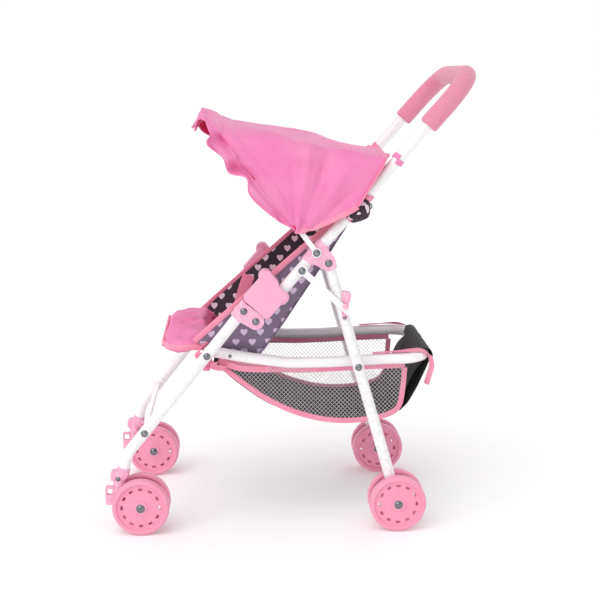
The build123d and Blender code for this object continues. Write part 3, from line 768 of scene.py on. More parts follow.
def hood_rows():
    """Control points of the hood from its near lower hem over the top: front edge to rear edge."""
    frill = [
        [(121.0, 31, 353), (121.7, 33, 352.6), (122, 34.5, 352.3), (122.5, 36, 352)],
        [(127.0, 4, 370), (123.5, 9, 372), (123.5, 14, 373), (124.0, 19, 374)],
        [(118.0, -20, 392), (129.0, -15, 394), (127.0, -8, 397), (123.5, 0, 399)],
        [(136.0, -24, 413), (128.0, -25, 414), (121.0, -20, 416), (123.5, -14, 418)],
        [(127.0, -43, 418), (117.0, -38, 423), (124.0, -32, 427), (124.0, -20, 427)],
        [(114.0, -50, 434), (131.0, -48, 436), (130.0, -38, 437), (123.0, -28, 438)],
        [(135.0, -67, 451), (126.0, -60, 453), (116.0, -50, 453), (120.5, -38, 452)],
        [(112.0, -58, 464), (123.0, -66, 466), (122.0, -56, 464), (113.0, -43, 460)],
        [(92.0, -76, 476), (101.0, -72, 482), (99.0, -60, 474), (96.0, -46, 468)],
        [(74.0, -82, 462), (72.0, -74, 472), (70.0, -62, 475), (70.0, -47, 470)],
        [(50.0, -76, 478), (48.0, -74, 485), (46.0, -62, 477), (46.0, -47, 470.4)],
        [(24.0, -87, 463), (24.0, -77, 474), (24.0, -62, 476), (24.0, -47, 470.7)],
        [(0.0, -78, 475), (0.0, -75, 484), (0.0, -62, 477), (0.0, -47, 470.8)],
        [(-26.0, -88, 462), (-26.0, -78, 473), (-26.0, -62, 476), (-26.0, -47, 470.7)],
        [(-52.0, -79, 472), (-50.0, -77, 484), (-48.0, -62, 478), (-46.0, -47, 470.4)],
        [(-76.0, -90, 459), (-74.0, -80, 472), (-72.0, -64, 475), (-70.0, -47, 470)],
        [(-98.0, -86, 462), (-103.0, -79, 480), (-100.0, -62, 474), (-96.0, -46, 468)],
        [(-110.0, -78, 452), (-125.0, -70, 462), (-122.0, -58, 463), (-113.0, -43, 460)],
        [(-132.0, -60, 440), (-124.0, -58, 448), (-117.0, -48, 451), (-120.5, -38, 452)],
        [(-116.0, -54, 428), (-130.0, -46, 434), (-129.0, -38, 436), (-123.0, -28, 438)],
        [(-131.0, -38, 414), (-119.0, -36, 421), (-122.0, -30, 425), (-124.0, -20, 427)],
        [(-118.0, -20, 392), (-129.0, -15, 394), (-127.0, -8, 397), (-123.5, 0, 399)],
        [(-127.0, 4, 370), (-123.5, 9, 372), (-123.5, 14, 373), (-124.0, 19, 374)],
        [(-121.0, 31, 353), (-121.7, 33, 352.6), (-122, 34.5, 352.3), (-122.5, 36, 352)],
    ]
    side = [
        [(123, 52, 356), (123, 76, 367), (121.5, 99, 380)],
        [(125.5, 50, 378), (124.5, 82, 383), (121.5, 105, 389)],
        [(128.0, 40, 400), (125.0, 84, 401), (121.5, 112, 400)],
        [(126.5, 36, 417), (124.5, 88, 414), (121.5, 118, 409)],
        [(123.5, 34, 425), (123.5, 88, 420), (121.2, 121, 414)],
        [(124.5, 30, 438), (122.5, 90, 429), (120.5, 127, 423)],
        [(119.0, 28, 448), (117.5, 92, 435), (117.5, 131, 430)],
        [(109.0, 26, 455), (108.5, 92, 438.5), (111, 133.5, 433)],
        [(90.0, 24, 457.5), (90.0, 92, 440.0), (92, 135, 434)],
        [(66.0, 22, 456.5), (66.0, 92, 439.0), (66, 136, 433)],
        [(42.0, 20, 456.0), (42.0, 92, 438.0), (42, 136.5, 432)],
        [(20.0, 20, 455.8), (20.0, 92, 437.6), (20, 137, 431.7)],
    ]
    rear = np.array(side, float)
    short = np.delete(mirror_x(rear[::-1]), 8, axis=0)
    middle = np.array([[(0.0, 20, 455.8), (0.0, 92, 437.6), (0, 137, 431.7)]])
    return np.concatenate([np.array(frill, float), np.concatenate([rear, middle, short])], axis=1)


def bow_share(grid):
    """How far each point lies behind the bow, in mm."""
    pivot, tip = np.array(HOOD_PIVOT), np.array(BOW_TIP)
    run = (tip - pivot) / np.linalg.norm(tip - pivot)
    back = np.array((run[1], -run[0]))
    return (grid[..., 1:] - pivot) @ back


# direction in radians, half width, height and reach in mm of each fold
FAN_FOLDS = [(0.32, 0.06, 3.2, 120), (0.52, 0.07, -4.0, 115), (0.74, 0.06, 4.2, 105), (0.95, 0.08, -3.0, 120),
             (1.22, 0.06, 4.4, 130), (1.42, 0.05, -4.2, 125), (1.62, 0.06, 3.6, 120), (1.9, 0.06, -3.0, 110),
             (2.12, 0.05, 3.0, 110)]


class StrollerHood(Dressing):
    """Sews the satin hood with its bow tunnel, wavy front frill, bound hem and corner ties"""

    bl_idname = "stroller.hood"
    bl_label = "Sew the hood"

    def build(self):
        rows = hood_rows()
        grid = loft(rows, 320, 130)
        behind = bow_share(grid)
        tunnel = np.exp(-((behind / 6.0) ** 2)) * 1.6
        seams = np.exp(-(((np.abs(behind) - 9.0) / 1.6) ** 2)) * -0.9
        n = normals_of(grid)
        if n[160, 65, 2] < 0:
            n = -n
        grid = grid + n * (tunnel + seams)[..., None]
        slack = ease((behind - 12) / 60) * ease((170 - behind) / 90)
        grid = ripple(grid, 5.0, 0.014, 3, slack)
        grid = self.drag_folds(grid, slack)
        grid = ripple(grid, 1.6, 0.05, 5, slack)
        if normals_of(grid)[160, 65, 2] < 0:
            grid = grid[:, ::-1]
        hood = sheet_object("hood_cloth", grid, satin_material(), satin_inside_painted_shade_material())
        front, rear = sorted((grid[:, 0], grid[:, -1]), key=lambda edge: edge[160, 1])
        trims = [self.hem("hood_rear_hem", rear, 7.0, 160),
                 self.hem("hood_front_hem", front, 2.6, 400, satin_material())]
        for name, line in (("hood_near_hem", grid[0]), ("hood_far_hem", grid[-1])):
            trims.append(self.hem(name, line, 6.0, 40))
        trims.append(self.tunnel_stitches(grid, behind))
        for piece in [hood, *trims]:
            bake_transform(piece)
        finish_piece(["canopy_cloth"])
        self.ties()

    def drag_folds(self, grid, slack):
        """Soft folds that fan out from the hood's lower corner and fade towards its top."""
        y, z = grid[..., 1], grid[..., 2]
        fan = np.arctan2(z - 338, y - 30)
        away = np.hypot(z - 338, y - 30)
        height = np.zeros(fan.shape)
        for at_fan, wide, deep, reach in FAN_FOLDS:
            fold = deep * np.exp(-(((fan - at_fan) / wide) ** 2))
            height += fold * ease(away / 25) * ease((reach - away) / 45)
        on_side = ease((np.abs(grid[..., 0]) - 100) / 18)
        return grid + normals_of(grid) * (height * np.maximum(slack, 0.35) * on_side)[..., None]

    def point(self, back):
        """A point on the hood, back mm behind the bow's plane."""
        pivot, tip = np.array(HOOD_PIVOT), np.array(BOW_TIP)
        run = (tip - pivot) / np.linalg.norm(tip - pivot)
        y, z = (pivot + tip) / 2 + np.array((run[1], -run[0])) * back
        return at(0, y, z)

    def hem(self, name, line, width, spots, material=None):
        line = smooth(line[:: max(1, len(line) // 100)], spots)
        across = line.mean(0) + np.array((0, 25, 25)) - line
        return tape(name, line, across, width, 1.9, material or binding_material(), 2.0)

    def tunnel_stitches(self, grid, behind):
        lines = []
        n = normals_of(grid)
        for offset in (-9.0, 9.0):
            line = []
            for r in range(8, len(grid) - 8):
                c = int(np.argmin(np.abs(behind[r] - offset)))
                line.append(grid[r, c] + n[r, c] * 0.75)
            lines.append(smooth(line[::6], 200))
        return stitches("hood_tunnel_stitches", lines, thread_material())

    def ties(self):
        """Loops of tape that hold the hood's rear corners to the handle tube."""
        for side, tail in SIDES:
            loop = []
            for turn in np.linspace(-0.2, math.tau - 0.1, 22):
                y, z = on_handle(240 + turn * 0.8, 0)
                across = np.array((math.sin(HANDLE_ANGLE), -math.cos(HANDLE_ANGLE)))
                n = across * math.sin(turn) * 7.4
                loop.append((side * (HANDLE_X + math.cos(turn) * 7.4), y + n[0], z + n[1]))
            tie = tape(f"hood_tie_{tail}", loop, (0, math.cos(HANDLE_ANGLE), math.sin(HANDLE_ANGLE)),
                       6.0, 1.2, satin_material(), 1.5)
            set_down(tie, "main_frame")


# ---------------------------------------------------------------- seat


SEAT_FRONT = (-66.0, 214.8)
SEAT_TOP = (103.0, 376.0)


def seat_grid():
    """The sling from the front edge, down into the seat and up to the top of the back."""
    path = [SEAT_FRONT, (-38.0, 206.5), (-18.0, 201.5), (-10.0, 203.0), (16.0, 241.5), (50.0, 292.0),
            (80.0, 339.0), SEAT_TOP]
    half = [80.0, 74.0, 71.5, 71.5, 77.0, 84.0, 91.0, 98.0]
    sag = [0.0, 1.0, 1.0, 2.0, 4.0, 5.0, 3.5, 0.5]
    across = np.linspace(-1, 1, 7)
    rows = []
    for (y, z), w, s in zip(path, half, sag):
        rows.append([(w * a, y + s * (1 - a * a) * 0.8, z - s * (1 - a * a) * 0.6) for a in across])
    return loft(rows, 150, 110)


def side_grid(side):
    """Side cloth, from its bound top edge down to the sling's edge."""
    top = [(91.0, -86, 222), (91.5, -40, 263), (93.0, 5, 301), (95.5, 50, 340), (98.5, 97, 377.5)]
    low = [(84.0, -70, 213.0), (73.0, -38, 206.0), (72.5, -13, 200.5), (86.0, 54, 298), (98.5, 100, 376.5)]
    rows = []
    for share, swell in ((0, 0), (0.33, 2.0), (0.66, 2.0), (1.0, 0)):
        row = [np.array(a) * (1 - share) + np.array(b) * share for a, b in zip(top, low)]
        rows.append([p + np.array((swell, 0, 0)) for p in row])
    grid = loft(rows, 60, 130)
    return grid if side > 0 else mirror_x(grid)


class StrollerSeat(Dressing):
    """Sews the printed sling and side cloths with their bound edges and corner wraps"""

    bl_idname = "stroller.seat"
    bl_label = "Sew the seat"

    def build(self):
        sling = seat_grid()
        edge = np.clip(1 - np.abs(sling[..., 0]) / 90, 0, 1)
        sling = ripple(sling, 2.6, 0.022, 11, edge)
        inner, outer = self.facing(sling, (0, -0.6, 0.8))
        seat = sheet_object("seat_sling", sling, inner, outer)
        top = self.top_binding(sling)
        front = tape("seat_front_binding", sling[0] + np.array((0, 0, 0.3)), (0, 1, 0.1), 7, 1.9,
                     binding_material())
        for piece in (top, front):
            set_down(piece, "main_frame")
        set_down(seat, "main_frame", ["seat_base", "seat_back"])
        for side, tail in SIDES:
            self.side_cloth(side, tail)
            self.corner_wrap(side, tail)

    def facing(self, grid, towards):
        """Materials for the two faces so that the printed one looks at the child."""
        n = normals_of(grid).mean((0, 1))
        printed, reverse = dark_print_material(), pale_print_material()
        return (printed, reverse) if float(n @ np.array(towards)) > 0 else (reverse, printed)

    def top_binding(self, sling):
        line = sling[-1]
        return tape("seat_top_binding", line, (0, -0.66, -0.75), 7.5, 2.2, binding_material())

    def side_cloth(self, side, tail):
        grid = side_grid(side)
        grid = ripple(grid, 2.0, 0.03, 17 + side)
        inner, outer = self.facing(grid, (-side, 0, 0))
        panel = sheet_object(f"seat_side_cloth_{tail}", grid, inner, outer, flat=grid[..., 1:] * MM)
        line = grid[0] + np.array((0, 0, -1.5))
        binding = tape(f"seat_side_binding_{tail}", line, (0.1 * side, 0.62, -0.78), 7.0, 2.3,
                       binding_material())
        seam = tape(f"seat_side_seam_{tail}", grid[-1][6:-6] + np.array((side * 0.8, 0.6, -0.6)),
                    (side, 0.3, -0.2), 2.0, 1.4, pale_print_material())
        offset = np.array((side * 1.35, 1.2, -2.6))
        sewn = stitches(f"seat_side_stitches_{tail}", [grid[0] + offset], thread_material(), 0.26)
        for piece in (binding, seam, sewn):
            set_down(piece, "main_frame")
        set_down(panel, "main_frame", [f"seat_side_{tail}"])

    def corner_wrap(self, side, tail):
        """The seat's top corner, sewn round the handle tube with a strap and a small ring."""
        along = np.array((0, math.cos(HANDLE_ANGLE), math.sin(HANDLE_ANGLE)))
        across = np.array((0, math.sin(HANDLE_ANGLE), -math.cos(HANDLE_ANGLE)))
        rows = []
        for t, radius in ((155.0, 7.4), (160, 9.6), (171, 11.6), (181, 10.0), (187.0, 7.4)):
            y, z = on_handle(t)
            middle = np.array((side * HANDLE_X, y, z))
            droop = across * max(0.0, radius - 8) * 1.6
            rows.append([
                middle + droop + radius * (np.array((side * math.cos(a), 0, 0)) + across * math.sin(a))
                for a in np.linspace(0, math.tau, 13)
            ])
        grid = ripple(loft(rows, 26, 60), 0.8, 0.12, 23)
        printed = dark_print_material()
        wrap = sheet_object(f"seat_corner_wrap_{tail}", grid, printed, printed)
        set_down(wrap, "main_frame")
        for name, t in (("low", 157.5), ("high", 187.0)):
            loop = []
            for a in np.linspace(0, math.tau, 30):
                y, z = on_handle(t + (3 if name == "high" else 0) * math.sin(a))
                point = np.array((side * HANDLE_X, y, z))
                loop.append(point + 8.0 * (np.array((side * math.cos(a), 0, 0)) + across * math.sin(a)))
            strap = tape(f"seat_corner_{name}_strap_{tail}", loop, along, 5.5 if name == "low" else 7.0, 1.3,
                         webbing_material(), 1.5)
            set_down(strap, "main_frame")
        y, z = on_handle(182.0, 10.5)
        centre = (side * (HANDLE_X + 2), y, z)
        loop = ring(f"seat_corner_ring_{tail}", centre, (1, 0.2, 0), 3.2, 0.7, steel_material())
        set_down(loop, "main_frame")


# ---------------------------------------------------------------- apron pad


def pad_outline(half, rear, front, corner, count=9):
    """Outline of the apron: square at the rear, rounded at its two front corners."""
    points = [(half, rear), ]
    for k in range(count):
        a = math.pi / 2 * k / (count - 1)
        points.append((half - corner + corner * math.cos(a), front + corner - corner * math.sin(a)))
    return points + [(-x, y) for x, y in reversed(points)]


APRON_KNOT = [(82, -66, 216), (92, -68, 213), (101, -70, 208), (103, -76, 200),
              (99, -80, 194), (96, -74, 190), (100, -66, 193), (106, -62, 199)]
APRON_LOOP = [(80, -68, 215), (88, -74, 207), (93, -82, 204), (92, -78, 213), (84, -68, 217)]


def puff(pad, cap, pressure=4.0):
    """Inflates a closed mesh with cloth simulation, never moving a point further than cap metres."""
    start = np.array([v.co for v in pad.data.vertices], float)
    modifier = pad.modifiers.new("Puff", "CLOTH")
    modifier.settings.use_pressure = True
    modifier.settings.uniform_pressure_force = pressure
    modifier.settings.effector_weights.gravity = 0
    modifier.settings.quality = 5
    modifier.point_cache.frame_start = 1
    modifier.point_cache.frame_end = 20
    for now in range(1, 21):
        bpy.context.scene.frame_set(now)
    blown = pad.evaluated_get(bpy.context.evaluated_depsgraph_get())
    end = np.array([v.co for v in blown.data.vertices], float)
    pad.modifiers.remove(modifier)
    bpy.context.scene.frame_set(1)
    move = end - start
    far = np.linalg.norm(move, axis=1, keepdims=True)
    move *= np.minimum(1, cap / np.maximum(far, 1e-9))
    pad.data.vertices.foreach_set("co", (start + move).astype(np.float32).ravel())
    pad.data.update()


class StrollerApron(Dressing):
    """Makes the padded satin apron at the seat's front, with its piping, channel seams and ties"""

    bl_idname = "stroller.apron"
    bl_label = "Make the apron pad"

    def height(self, x, y):
        """Middle height of the pad, in mm: it droops at its front and dips at the middle."""
        forward = np.clip((-72 - y) / 50, 0, 1)
        out = np.abs(x) / 84
        return 219.5 - 3.0 * forward**2 - 2.5 * x / 84 - 4.0 * out**3 + 3.5 * forward * (1 - out)

    def build(self):
        outline = pad_outline(84.0, -66.0, -122.5, 26.0)
        pad = self.blank(pad_outline(85.5, -65.0, -124.5, 26.0))
        puff(pad, 0.0045)
        self.shape(pad)
        piping = self.piping(outline)
        seams = self.seams()
        for piece in (piping, seams):
            set_down(piece, "main_frame")
        set_down(pad, "main_frame", ["front_pad"])
        self.ties()

    def blank(self, outline):
        """A thin closed shape, remeshed finely enough to swell."""
        low = [(x, y, 214.5) for x, y in outline]
        high = [(x, y, 220.5) for x, y in outline]
        count = len(outline)
        faces = [tuple(range(count)), tuple(reversed(range(count, 2 * count)))]
        faces += [(k, k + count, (k + 1) % count + count, (k + 1) % count) for k in range(count)]
        pad = mesh_object("apron_pad", metres(low + high), faces, [satin_material(flat=False)])
        bm = bmesh.new()
        bm.from_mesh(pad.data)
        bmesh.ops.recalc_face_normals(bm, faces=bm.faces)
        bm.to_mesh(pad.data)
        bm.free()
        remesh = pad.modifiers.new("Remesh", "REMESH")
        remesh.mode = "VOXEL"
        remesh.voxel_size = 0.0028
        fine = bpy.data.meshes.new_from_object(pad.evaluated_get(bpy.context.evaluated_depsgraph_get()))
        pad.modifiers.clear()
        pad.data = fine
        if not fine.materials:
            fine.materials.append(satin_material(flat=False))
        fine.polygons.foreach_set("use_smooth", [True] * len(fine.polygons))
        return pad

    def shape(self, pad):
        """Sewn channels, a deep crease and the droop, put in after the filling."""
        co = np.array([v.co for v in pad.data.vertices], float) / MM
        x, y, z = co[:, 0], co[:, 1] - MIDDLE_Y / MM, co[:, 2]
        away = z - 217.5
        groove = 1 - 0.3 * np.exp(-(((np.abs(x) - 30) / 4.5) ** 2))
        near_crease = np.exp(-(((x - 10 - 0.12 * (y + 95)) / 5.0) ** 2))
        crease = 1 - 0.85 * near_crease * np.exp(-(((y + 92) / 26) ** 2))
        border = 1 - 0.45 * np.exp(-(((y + 70) / 4.0) ** 2))
        lumps = np.array([noise.noise(Vector((a, b, c)) * 0.045) for a, b, c in zip(x, y, z)])
        fine = np.array([noise.noise(Vector((a, b * 2.4, c)) * 0.11 + Vector((9, 2, 5)))
                         for a, b, c in zip(x, y, z)])
        away = away * groove * crease * border
        z = self.height(x, y) + away * 1.6 + 4.5 * lumps + 1.2 * fine
        out = np.stack([x, y + MIDDLE_Y / MM, z], 1) * MM
        pad.data.vertices.foreach_set("co", out.astype(np.float32).ravel())
        pad.data.update()
        divide = pad.modifiers.new("Smooth", "SUBSURF")
        divide.levels = divide.render_levels = 1

    def piping(self, outline):
        points = [(x * 1.012, y - 0.8 if abs(x) < 80 else y, self.height(x, y)) for x, y in outline]
        line = smooth(points, 260)
        return tape("apron_binding", line, (0, 0.02, 1), 7.4, 3.4, binding_material(), 2.0)

    def seams(self):
        lines = []
        for x in (-30, 30):
            lines.append([(x, y, self.height(x, y) + 3.2) for y in np.linspace(-112, -70, 12)])
        lines.append([(x, -115.0, self.height(x, -115.0) + 2.6) for x in np.linspace(-60, 60, 30)])
        return stitches("apron_stitches", lines, thread_material(), 0.3)

    def ties(self):
        """Short tapes at the apron's rear corners, beside the front legs."""
        for side, tail in SIDES:
            knot = [(side * x, y, z) for x, y, z in APRON_KNOT]
            tie = tape(f"apron_tie_{tail}", smooth(knot, 50), (0.3, 0.7, 0.5), 8.0, 1.5,
                       binding_material(), 1.5)
            loop = [(side * x, y, z) for x, y, z in APRON_LOOP]
            bow = tape(f"apron_loop_{tail}", smooth(loop, 40), (0.2, 0.5, 0.8), 8.0, 1.5,
                       binding_material(), 1.5)
            for piece in (tie, bow):
                set_down(piece, "main_frame")


# ---------------------------------------------------------------- lap belt


BELT_WIDTH = 16.0


class StrollerBelt(Dressing):
    """Lays the webbing lap belt across the seat and up both side cloths"""

    bl_idname = "stroller.belt"
    bl_label = "Lay the lap belt"

    def build(self):
        half = [(89.5, -21, 269), (86.0, -26, 256), (80.5, -32, 236), (74, -36, 221), (62, -37, 214.5),
                (35, -36, 213.0), (0, -35, 212.6)]
        path = smooth(half + [(-x, y, z) for x, y, z in half[-2::-1]], 240)
        belt = tape("lap_belt_webbing", path, (0, 1, 0.28), BELT_WIDTH, 1.5, webbing_material(), 2.0)
        edges = []
        for offset in (-6.6, 6.6):
            edges.append(path[4:-4] + np.array((0, offset, offset * 0.28 + 0.85)))
        sewn = stitches("lap_belt_stitches", edges, thread_material(), 0.25)
        set_down(sewn, "main_frame")
        set_down(belt, "main_frame", ["lap_belt"])


# ---------------------------------------------------------------- basket


BASKET_FLOOR = [(-64.0, 193.0), (-50.0, 179.5), (-34.0, 166.0), (-8.0, 147.0), (24.0, 131.5), (60.0, 121.5),
                (95.0, 118.5), (126.0, 121.5), (146.0, 129.0), (158.0, 148.0), (170.0, 176.0), (181.0, 189.0)]
BASKET_SIDE_LOW = [(-58.0, 191.0), (-34.0, 172.0), (-8.0, 152.5), (24.0, 135.5), (60.0, 124.5), (92.0, 121.5),
                   (122.0, 124.0), (143.0, 129.5), (154.0, 139.0), (158.0, 160.0), (160.0, 185.0)]
BASKET_TOP = [(-58.0, 199.0), (-22.0, 192.5), (24.0, 186.0), (71.0, 186.5), (110.0, 188.5), (160.0, 190.0)]


REAR_BAR_Z = 197.0  # height of the tube's rear crossbar


def in_side(x, points):
    return np.array([(x, y, z) for y, z in points], float)


class StrollerBasket(Dressing):
    """Hangs the basket: black floor and rear wall, knitted net sides, bindings and tapes"""

    bl_idname = "stroller.basket"
    bl_label = "Hang the basket"

    def settle(self, piece, slot, replaces=()):
        """Hangs a piece of the basket on the basket frame with a mesh of its own and hides the parts it
        replaces.
        """
        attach(piece, "basket_frame")
        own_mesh(piece)
        finish_piece(replaces)

    def build(self):
        for side, tail in SIDES:
            self.net_side(side, tail)
        floor_grid = self.floor_grid()
        upper = black_material()
        floor = sheet_object("basket_floor", floor_grid, upper, upper)
        self.settle(floor, "black_netting", ["basket_cloth"])
        cover_grid = self.cover_grid()
        cover = sheet_object("basket_rear_wrap", cover_grid, upper, upper)
        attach(cover, "basket_frame")
        self.tapes()

    def floor_grid(self):
        across = np.linspace(-1, 1, 9)
        rows = []
        for k, (y, z) in enumerate(BASKET_FLOOR):
            middle = math.sin(math.pi * min(1, k / 9))
            width = 81.5 if k < 9 else 79.5
            sag = (2.2 if 2 < k < 9 else 0.6) * middle
            rows.append([(width * a, y, z + 1.5 - sag * (1 - a * a)) for a in across])
        grid = loft(rows, 150, 90)
        edge = np.clip(1.1 - (np.abs(grid[..., 0]) / 82) ** 4, 0, 1)
        return ripple(ripple(grid, 2.4, 0.03, 31, edge), 1.0, 0.08, 33, edge)

    def cover_grid(self):
        """Black cloth folded over the tube's rear crossbar and down the outside of the rear wall."""
        rear_y = (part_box("basket_tube")[1].y - MIDDLE_Y) / MM - TUBE_R
        top_z = REAR_BAR_Z
        section = [(170.0, 176.0), (176.5, 186.5)]
        for turn in np.radians((215, 180, 145, 110, 75, 40, 5, -30, -62)):
            section.append((rear_y + 8.3 * math.cos(turn), top_z + 8.3 * math.sin(turn)))
        section += [(186.0, 180.0), (177.5, 163.0), (167.5, 143.0), (156.0, 130.0)]
        rows = []
        for y, z in section:
            rows.append([(x, y, z) for x in np.linspace(-71, 71, 7)])
        grid = loft(rows, 130, 90)
        loose = ease((180 - grid[..., 2]) / 20)
        return ripple(grid, 1.8, 0.045, 41, 0.25 + 0.75 * loose)

    def net_side(self, side, tail):
        x = side * (BASKET_X - 2.0)
        low = smooth(in_side(x, BASKET_SIDE_LOW), 200)
        top = smooth(in_side(x, BASKET_TOP), 200)
        net = self.netting(side, tail, low, top)
        upper = tape(f"basket_top_binding_{tail}", top + np.array((0, 0, -2.2)), (0, 0, 1), 6.5, 2.0,
                     binding_material())
        lower = tape(f"basket_side_binding_{tail}", low, self.inward(low), 6.4, 2.4, binding_material())
        offset = self.inward(low)
        offset /= np.linalg.norm(offset, axis=1, keepdims=True)
        rows = [low[4:-4] + offset[4:-4] * 0.9 + np.array((side * 1.35, 0, 0)),
                top[4:-4] + np.array((side * 1.15, 0, -2.6))]
        sewn = stitches(f"basket_stitches_{tail}", rows, thread_material(), 0.26)
        for piece in (upper, lower, sewn):
            self.settle(piece, "pink_webbing")
        self.settle(net, "black_netting")

    def inward(self, low):
        middle = np.array((low[0, 0], 70.0, 178.0))
        along = np.gradient(low, axis=0)
        up = np.cross(along, (1, 0, 0))
        sign = np.sign(((middle - low) * up).sum(1, keepdims=True))
        return up * sign

    def netting(self, side, tail, low, top):
        """Diamond openings between threads, cut to the outline of the basket's side."""
        pitch = cloth().net_pitch / MM
        row = pitch * 0.52
        ys, zs = np.arange(-60, 164, pitch / 2), np.arange(118, 200, row)
        outline_y = np.concatenate([low[:, 1], top[::-1, 1]])
        outline_z = np.concatenate([low[:, 2], top[::-1, 2]])
        floor_z = np.interp(ys, low[:160, 1], low[:160, 2])
        vertices, lookup, faces = [], {}, []

        def inside(y, z):
            crossings = 0
            for k in range(len(outline_y)):
                y0, z0, y1, z1 = outline_y[k - 1], outline_z[k - 1], outline_y[k], outline_z[k]
                if (z0 > z) != (z1 > z) and y < (y1 - y0) * (z - z0) / (z1 - z0) + y0:
                    crossings += 1
            return crossings % 2 == 1

        def corner(i, j):
            if (i, j) not in lookup:
                y, z = ys[i], zs[j]
                bottom = floor_z[min(i, len(floor_z) - 1)]
                depth = max(0.0, min(1.0, (z - bottom) / 70))
                swell = 2.0 * math.sin(math.pi * depth) + 0.8 * noise.noise(Vector((y, z, side)) * 0.05)
                lookup[i, j] = len(vertices)
                vertices.append((side * (BASKET_X - 2.6 + swell), y, z))
            return lookup[i, j]

        for i in range(1, len(ys) - 1):
            for j in range(1, len(zs) - 1):
                if (i + j) % 2 == 0 and inside(ys[i], zs[j]):
                    faces.append((corner(i - 1, j), corner(i, j - 1), corner(i + 1, j), corner(i, j + 1)))
        self.area = len(faces) * pitch * row * MM * MM
        net = mesh_object(f"basket_net_{tail}", metres(vertices), faces, [net_material()])
        wire = net.modifiers.new("Threads", "WIREFRAME")
        wire.thickness = cloth().net_thread
        wire.use_even_offset = False
        made = bpy.data.meshes.new_from_object(net.evaluated_get(bpy.context.evaluated_depsgraph_get()))
        net.modifiers.clear()
        net.data = made
        made.polygons.foreach_set("use_smooth", [True] * len(made.polygons))
        return net

    def tapes(self):
        """Tapes at the front pins and over the rear corners, with a hanging end on the near side."""
        for side, tail in SIDES:
            x = side * BASKET_X
            over = [(x, 122, 203.4), (x, 140, 204.4), (x, 156, 205.2), (x - side * 3, 170, 205.6),
                    (x - side * 8, 181, 204.0), (x - side * 9, 190, 198), (x - side * 8, 193, 186)]
            if side > 0:
                over += [(x - 8, 190, 174), (x - 9, 187, 163)]
            turn = [(1, 0, 0), (1, 0, 0), (0.9, 0, -0.3), (0.6, 0.5, -0.6), (0.5, 0.8, -0.3), (0.5, 0.9, 0)]
            turn = [(t[0], t[1] * side, t[2] * side) for t in turn]
            rear = tape(f"basket_rear_tape_{tail}", smooth(over, 80), turn, 7.0, 1.2, binding_material(), 2)
            front = [(x - side * 2, -58, 197), (x, -48, 191.5), (x + side * 1, -30, 186.5),
                     (x - side * 1.2, -2, 184.6),
                     (x - side * 3.6, 34, 184.6)]
            tab = tape(f"basket_front_tab_{tail}", smooth(front, 50), (0, 0.35, 0.93), 7.5, 1.3,
                       binding_material(), 2)
            hook = [(x - side * 6, -66, 206), (x + side * 2, -70, 199), (x + side * 7, -64, 191),
                    (x + side * 4, -52, 188), (x - side * 4, -50, 193)]
            loop = tape(f"basket_front_loop_{tail}", smooth(hook, 40), (0.1, 0.7, 0.6), 8.0, 1.4,
                        binding_material(), 1.5)
            for piece in (rear, tab, loop):
                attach(piece, "basket_frame")


# ---------------------------------------------------------------- stage


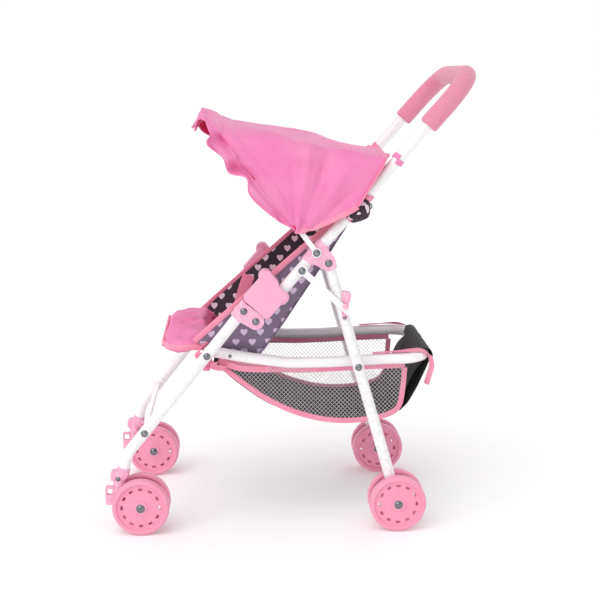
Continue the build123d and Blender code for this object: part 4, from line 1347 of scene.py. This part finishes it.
class StrollerStageSet(Dressing):
    """Sets the pale floor, soft lights and camera"""

    bl_idname = "stroller.stage"
    bl_label = "Set the stage"

    def build(self):
        settings = bpy.context.scene.stroller_stage
        self.floor(settings)
        world = bpy.data.worlds.new("studio_surround")
        bpy.context.scene.world = world
        world.use_nodes = True
        graph = Graph(world.node_tree)
        lit = world.node_tree.nodes["Background"]
        lit.inputs["Color"].default_value = (1, 1, 1, 1)
        lit.inputs["Strength"].default_value = settings.world
        seen = graph.add("ShaderNodeBackground", {"Color": (1, 1, 1, 1), "Strength": 1.0})
        ray = graph.add("ShaderNodeLightPath").outputs["Is Camera Ray"]
        both = graph.add("ShaderNodeMixShader", {0: ray, 1: lit.outputs[0], 2: seen.outputs[0]})
        graph.tree.links.new(both.outputs[0], world.node_tree.nodes["World Output"].inputs[0])
        self.overhead(settings.key)
        self.soft_box("side_box", (1.3, -1.2, 0.9), 1.0, settings.fill)
        self.soft_box("back_box", (-1.5, 0.9, 1.2), 1.2, settings.fill)
        bpy.context.scene.view_settings.view_transform = "Standard"
        self.camera(settings)

    def floor(self, settings):
        vertices = [(x, y, -0.0004) for x, y in ((-9, -9), (9, -9), (9, 9), (-9, 9))]
        material, graph, shader = start_material("studio_floor", Roughness=0.9, Emission_Color=(1, 1, 1),
                                                 Emission_Strength=0.11)
        if graph:
            drift = group_node(graph, drift_group(), {
                "Place": place_of(graph), "Colour": rgba(settings.floor),
                "Other": rgba(darker(settings.floor, 0.99)),
                "Amount": 0.5, "Scale": 3.0,
            })["Colour"]
            feed(graph, shader, "Base Color", drift)
        floor = mesh_object("floor", vertices, [(0, 1, 2, 3)], [material])

    def place_lamp(self, data, place):
        lamp = bpy.data.objects.new(data.name, data)
        lamp.location = place
        lamp.rotation_euler = (Vector((0, 0, 0.22)) - Vector(place)).to_track_quat("-Z", "Y").to_euler()
        bpy.context.scene.collection.objects.link(lamp)

    def overhead(self, strength):
        """A broad, even light from above that also keeps the floor's far side white."""
        data = bpy.data.lights.new("overhead", "SUN")
        data.energy = strength
        data.angle = math.radians(55)
        self.place_lamp(data, (1.0, -0.7, 1.9))

    def soft_box(self, name, place, size, power):
        data = bpy.data.lights.new(name, "AREA")
        data.shape = "DISK"
        data.size = size
        data.energy = power
        self.place_lamp(data, place)

    def camera(self, settings):
        data = bpy.data.cameras.new("camera")
        data.lens = settings.lens
        data.sensor_width = 36.0
        camera = bpy.data.objects.new("camera", data)
        camera.location = (1.5082, -0.0533, 0.5246)
        forward = Vector((-0.98302, 0.04567, -0.17777))
        camera.rotation_euler = forward.to_track_quat("-Z", "Y").to_euler()
        bpy.context.scene.collection.objects.link(camera)
        bpy.context.scene.camera = camera


class StrollerPanel(bpy.types.Panel):
    """Lists the steps that dress the stroller"""

    bl_idname = "VIEW3D_PT_stroller"
    bl_label = "Doll Stroller"
    bl_space_type = "VIEW_3D"
    bl_region_type = "UI"
    bl_category = "Stroller"

    def draw(self, context):
        for step in STEPS:
            self.layout.operator(step.bl_idname)
        for name in ("stroller_cloth", "stroller_hard", "stroller_stage"):
            group = getattr(context.scene, name)
            for item in group.bl_rna.properties:
                if item.identifier not in ("name", "rna_type"):
                    self.layout.prop(group, item.identifier)


STEPS = (StrollerFinishHard, StrollerHood, StrollerSeat, StrollerApron, StrollerBelt, StrollerBasket,
         StrollerStageSet)
CLASSES = (StrollerCloth, StrollerHard, StrollerStage, *STEPS, StrollerPanel)


def register():
    for made in CLASSES:
        bpy.utils.register_class(made)
    bpy.types.Scene.stroller_cloth = PointerProperty(type=StrollerCloth)
    bpy.types.Scene.stroller_hard = PointerProperty(type=StrollerHard)
    bpy.types.Scene.stroller_stage = PointerProperty(type=StrollerStage)


def unregister():
    for name in ("stroller_cloth", "stroller_hard", "stroller_stage"):
        delattr(bpy.types.Scene, name)
    for made in reversed(CLASSES):
        bpy.utils.unregister_class(made)


def main():
    register()
    for step in STEPS:
        group, name = step.bl_idname.split(".")
        if getattr(getattr(bpy.ops, group), name)() != {"FINISHED"}:
            raise RuntimeError(f"{step.bl_label} did not finish")


if __name__ == "__main__":
    main()
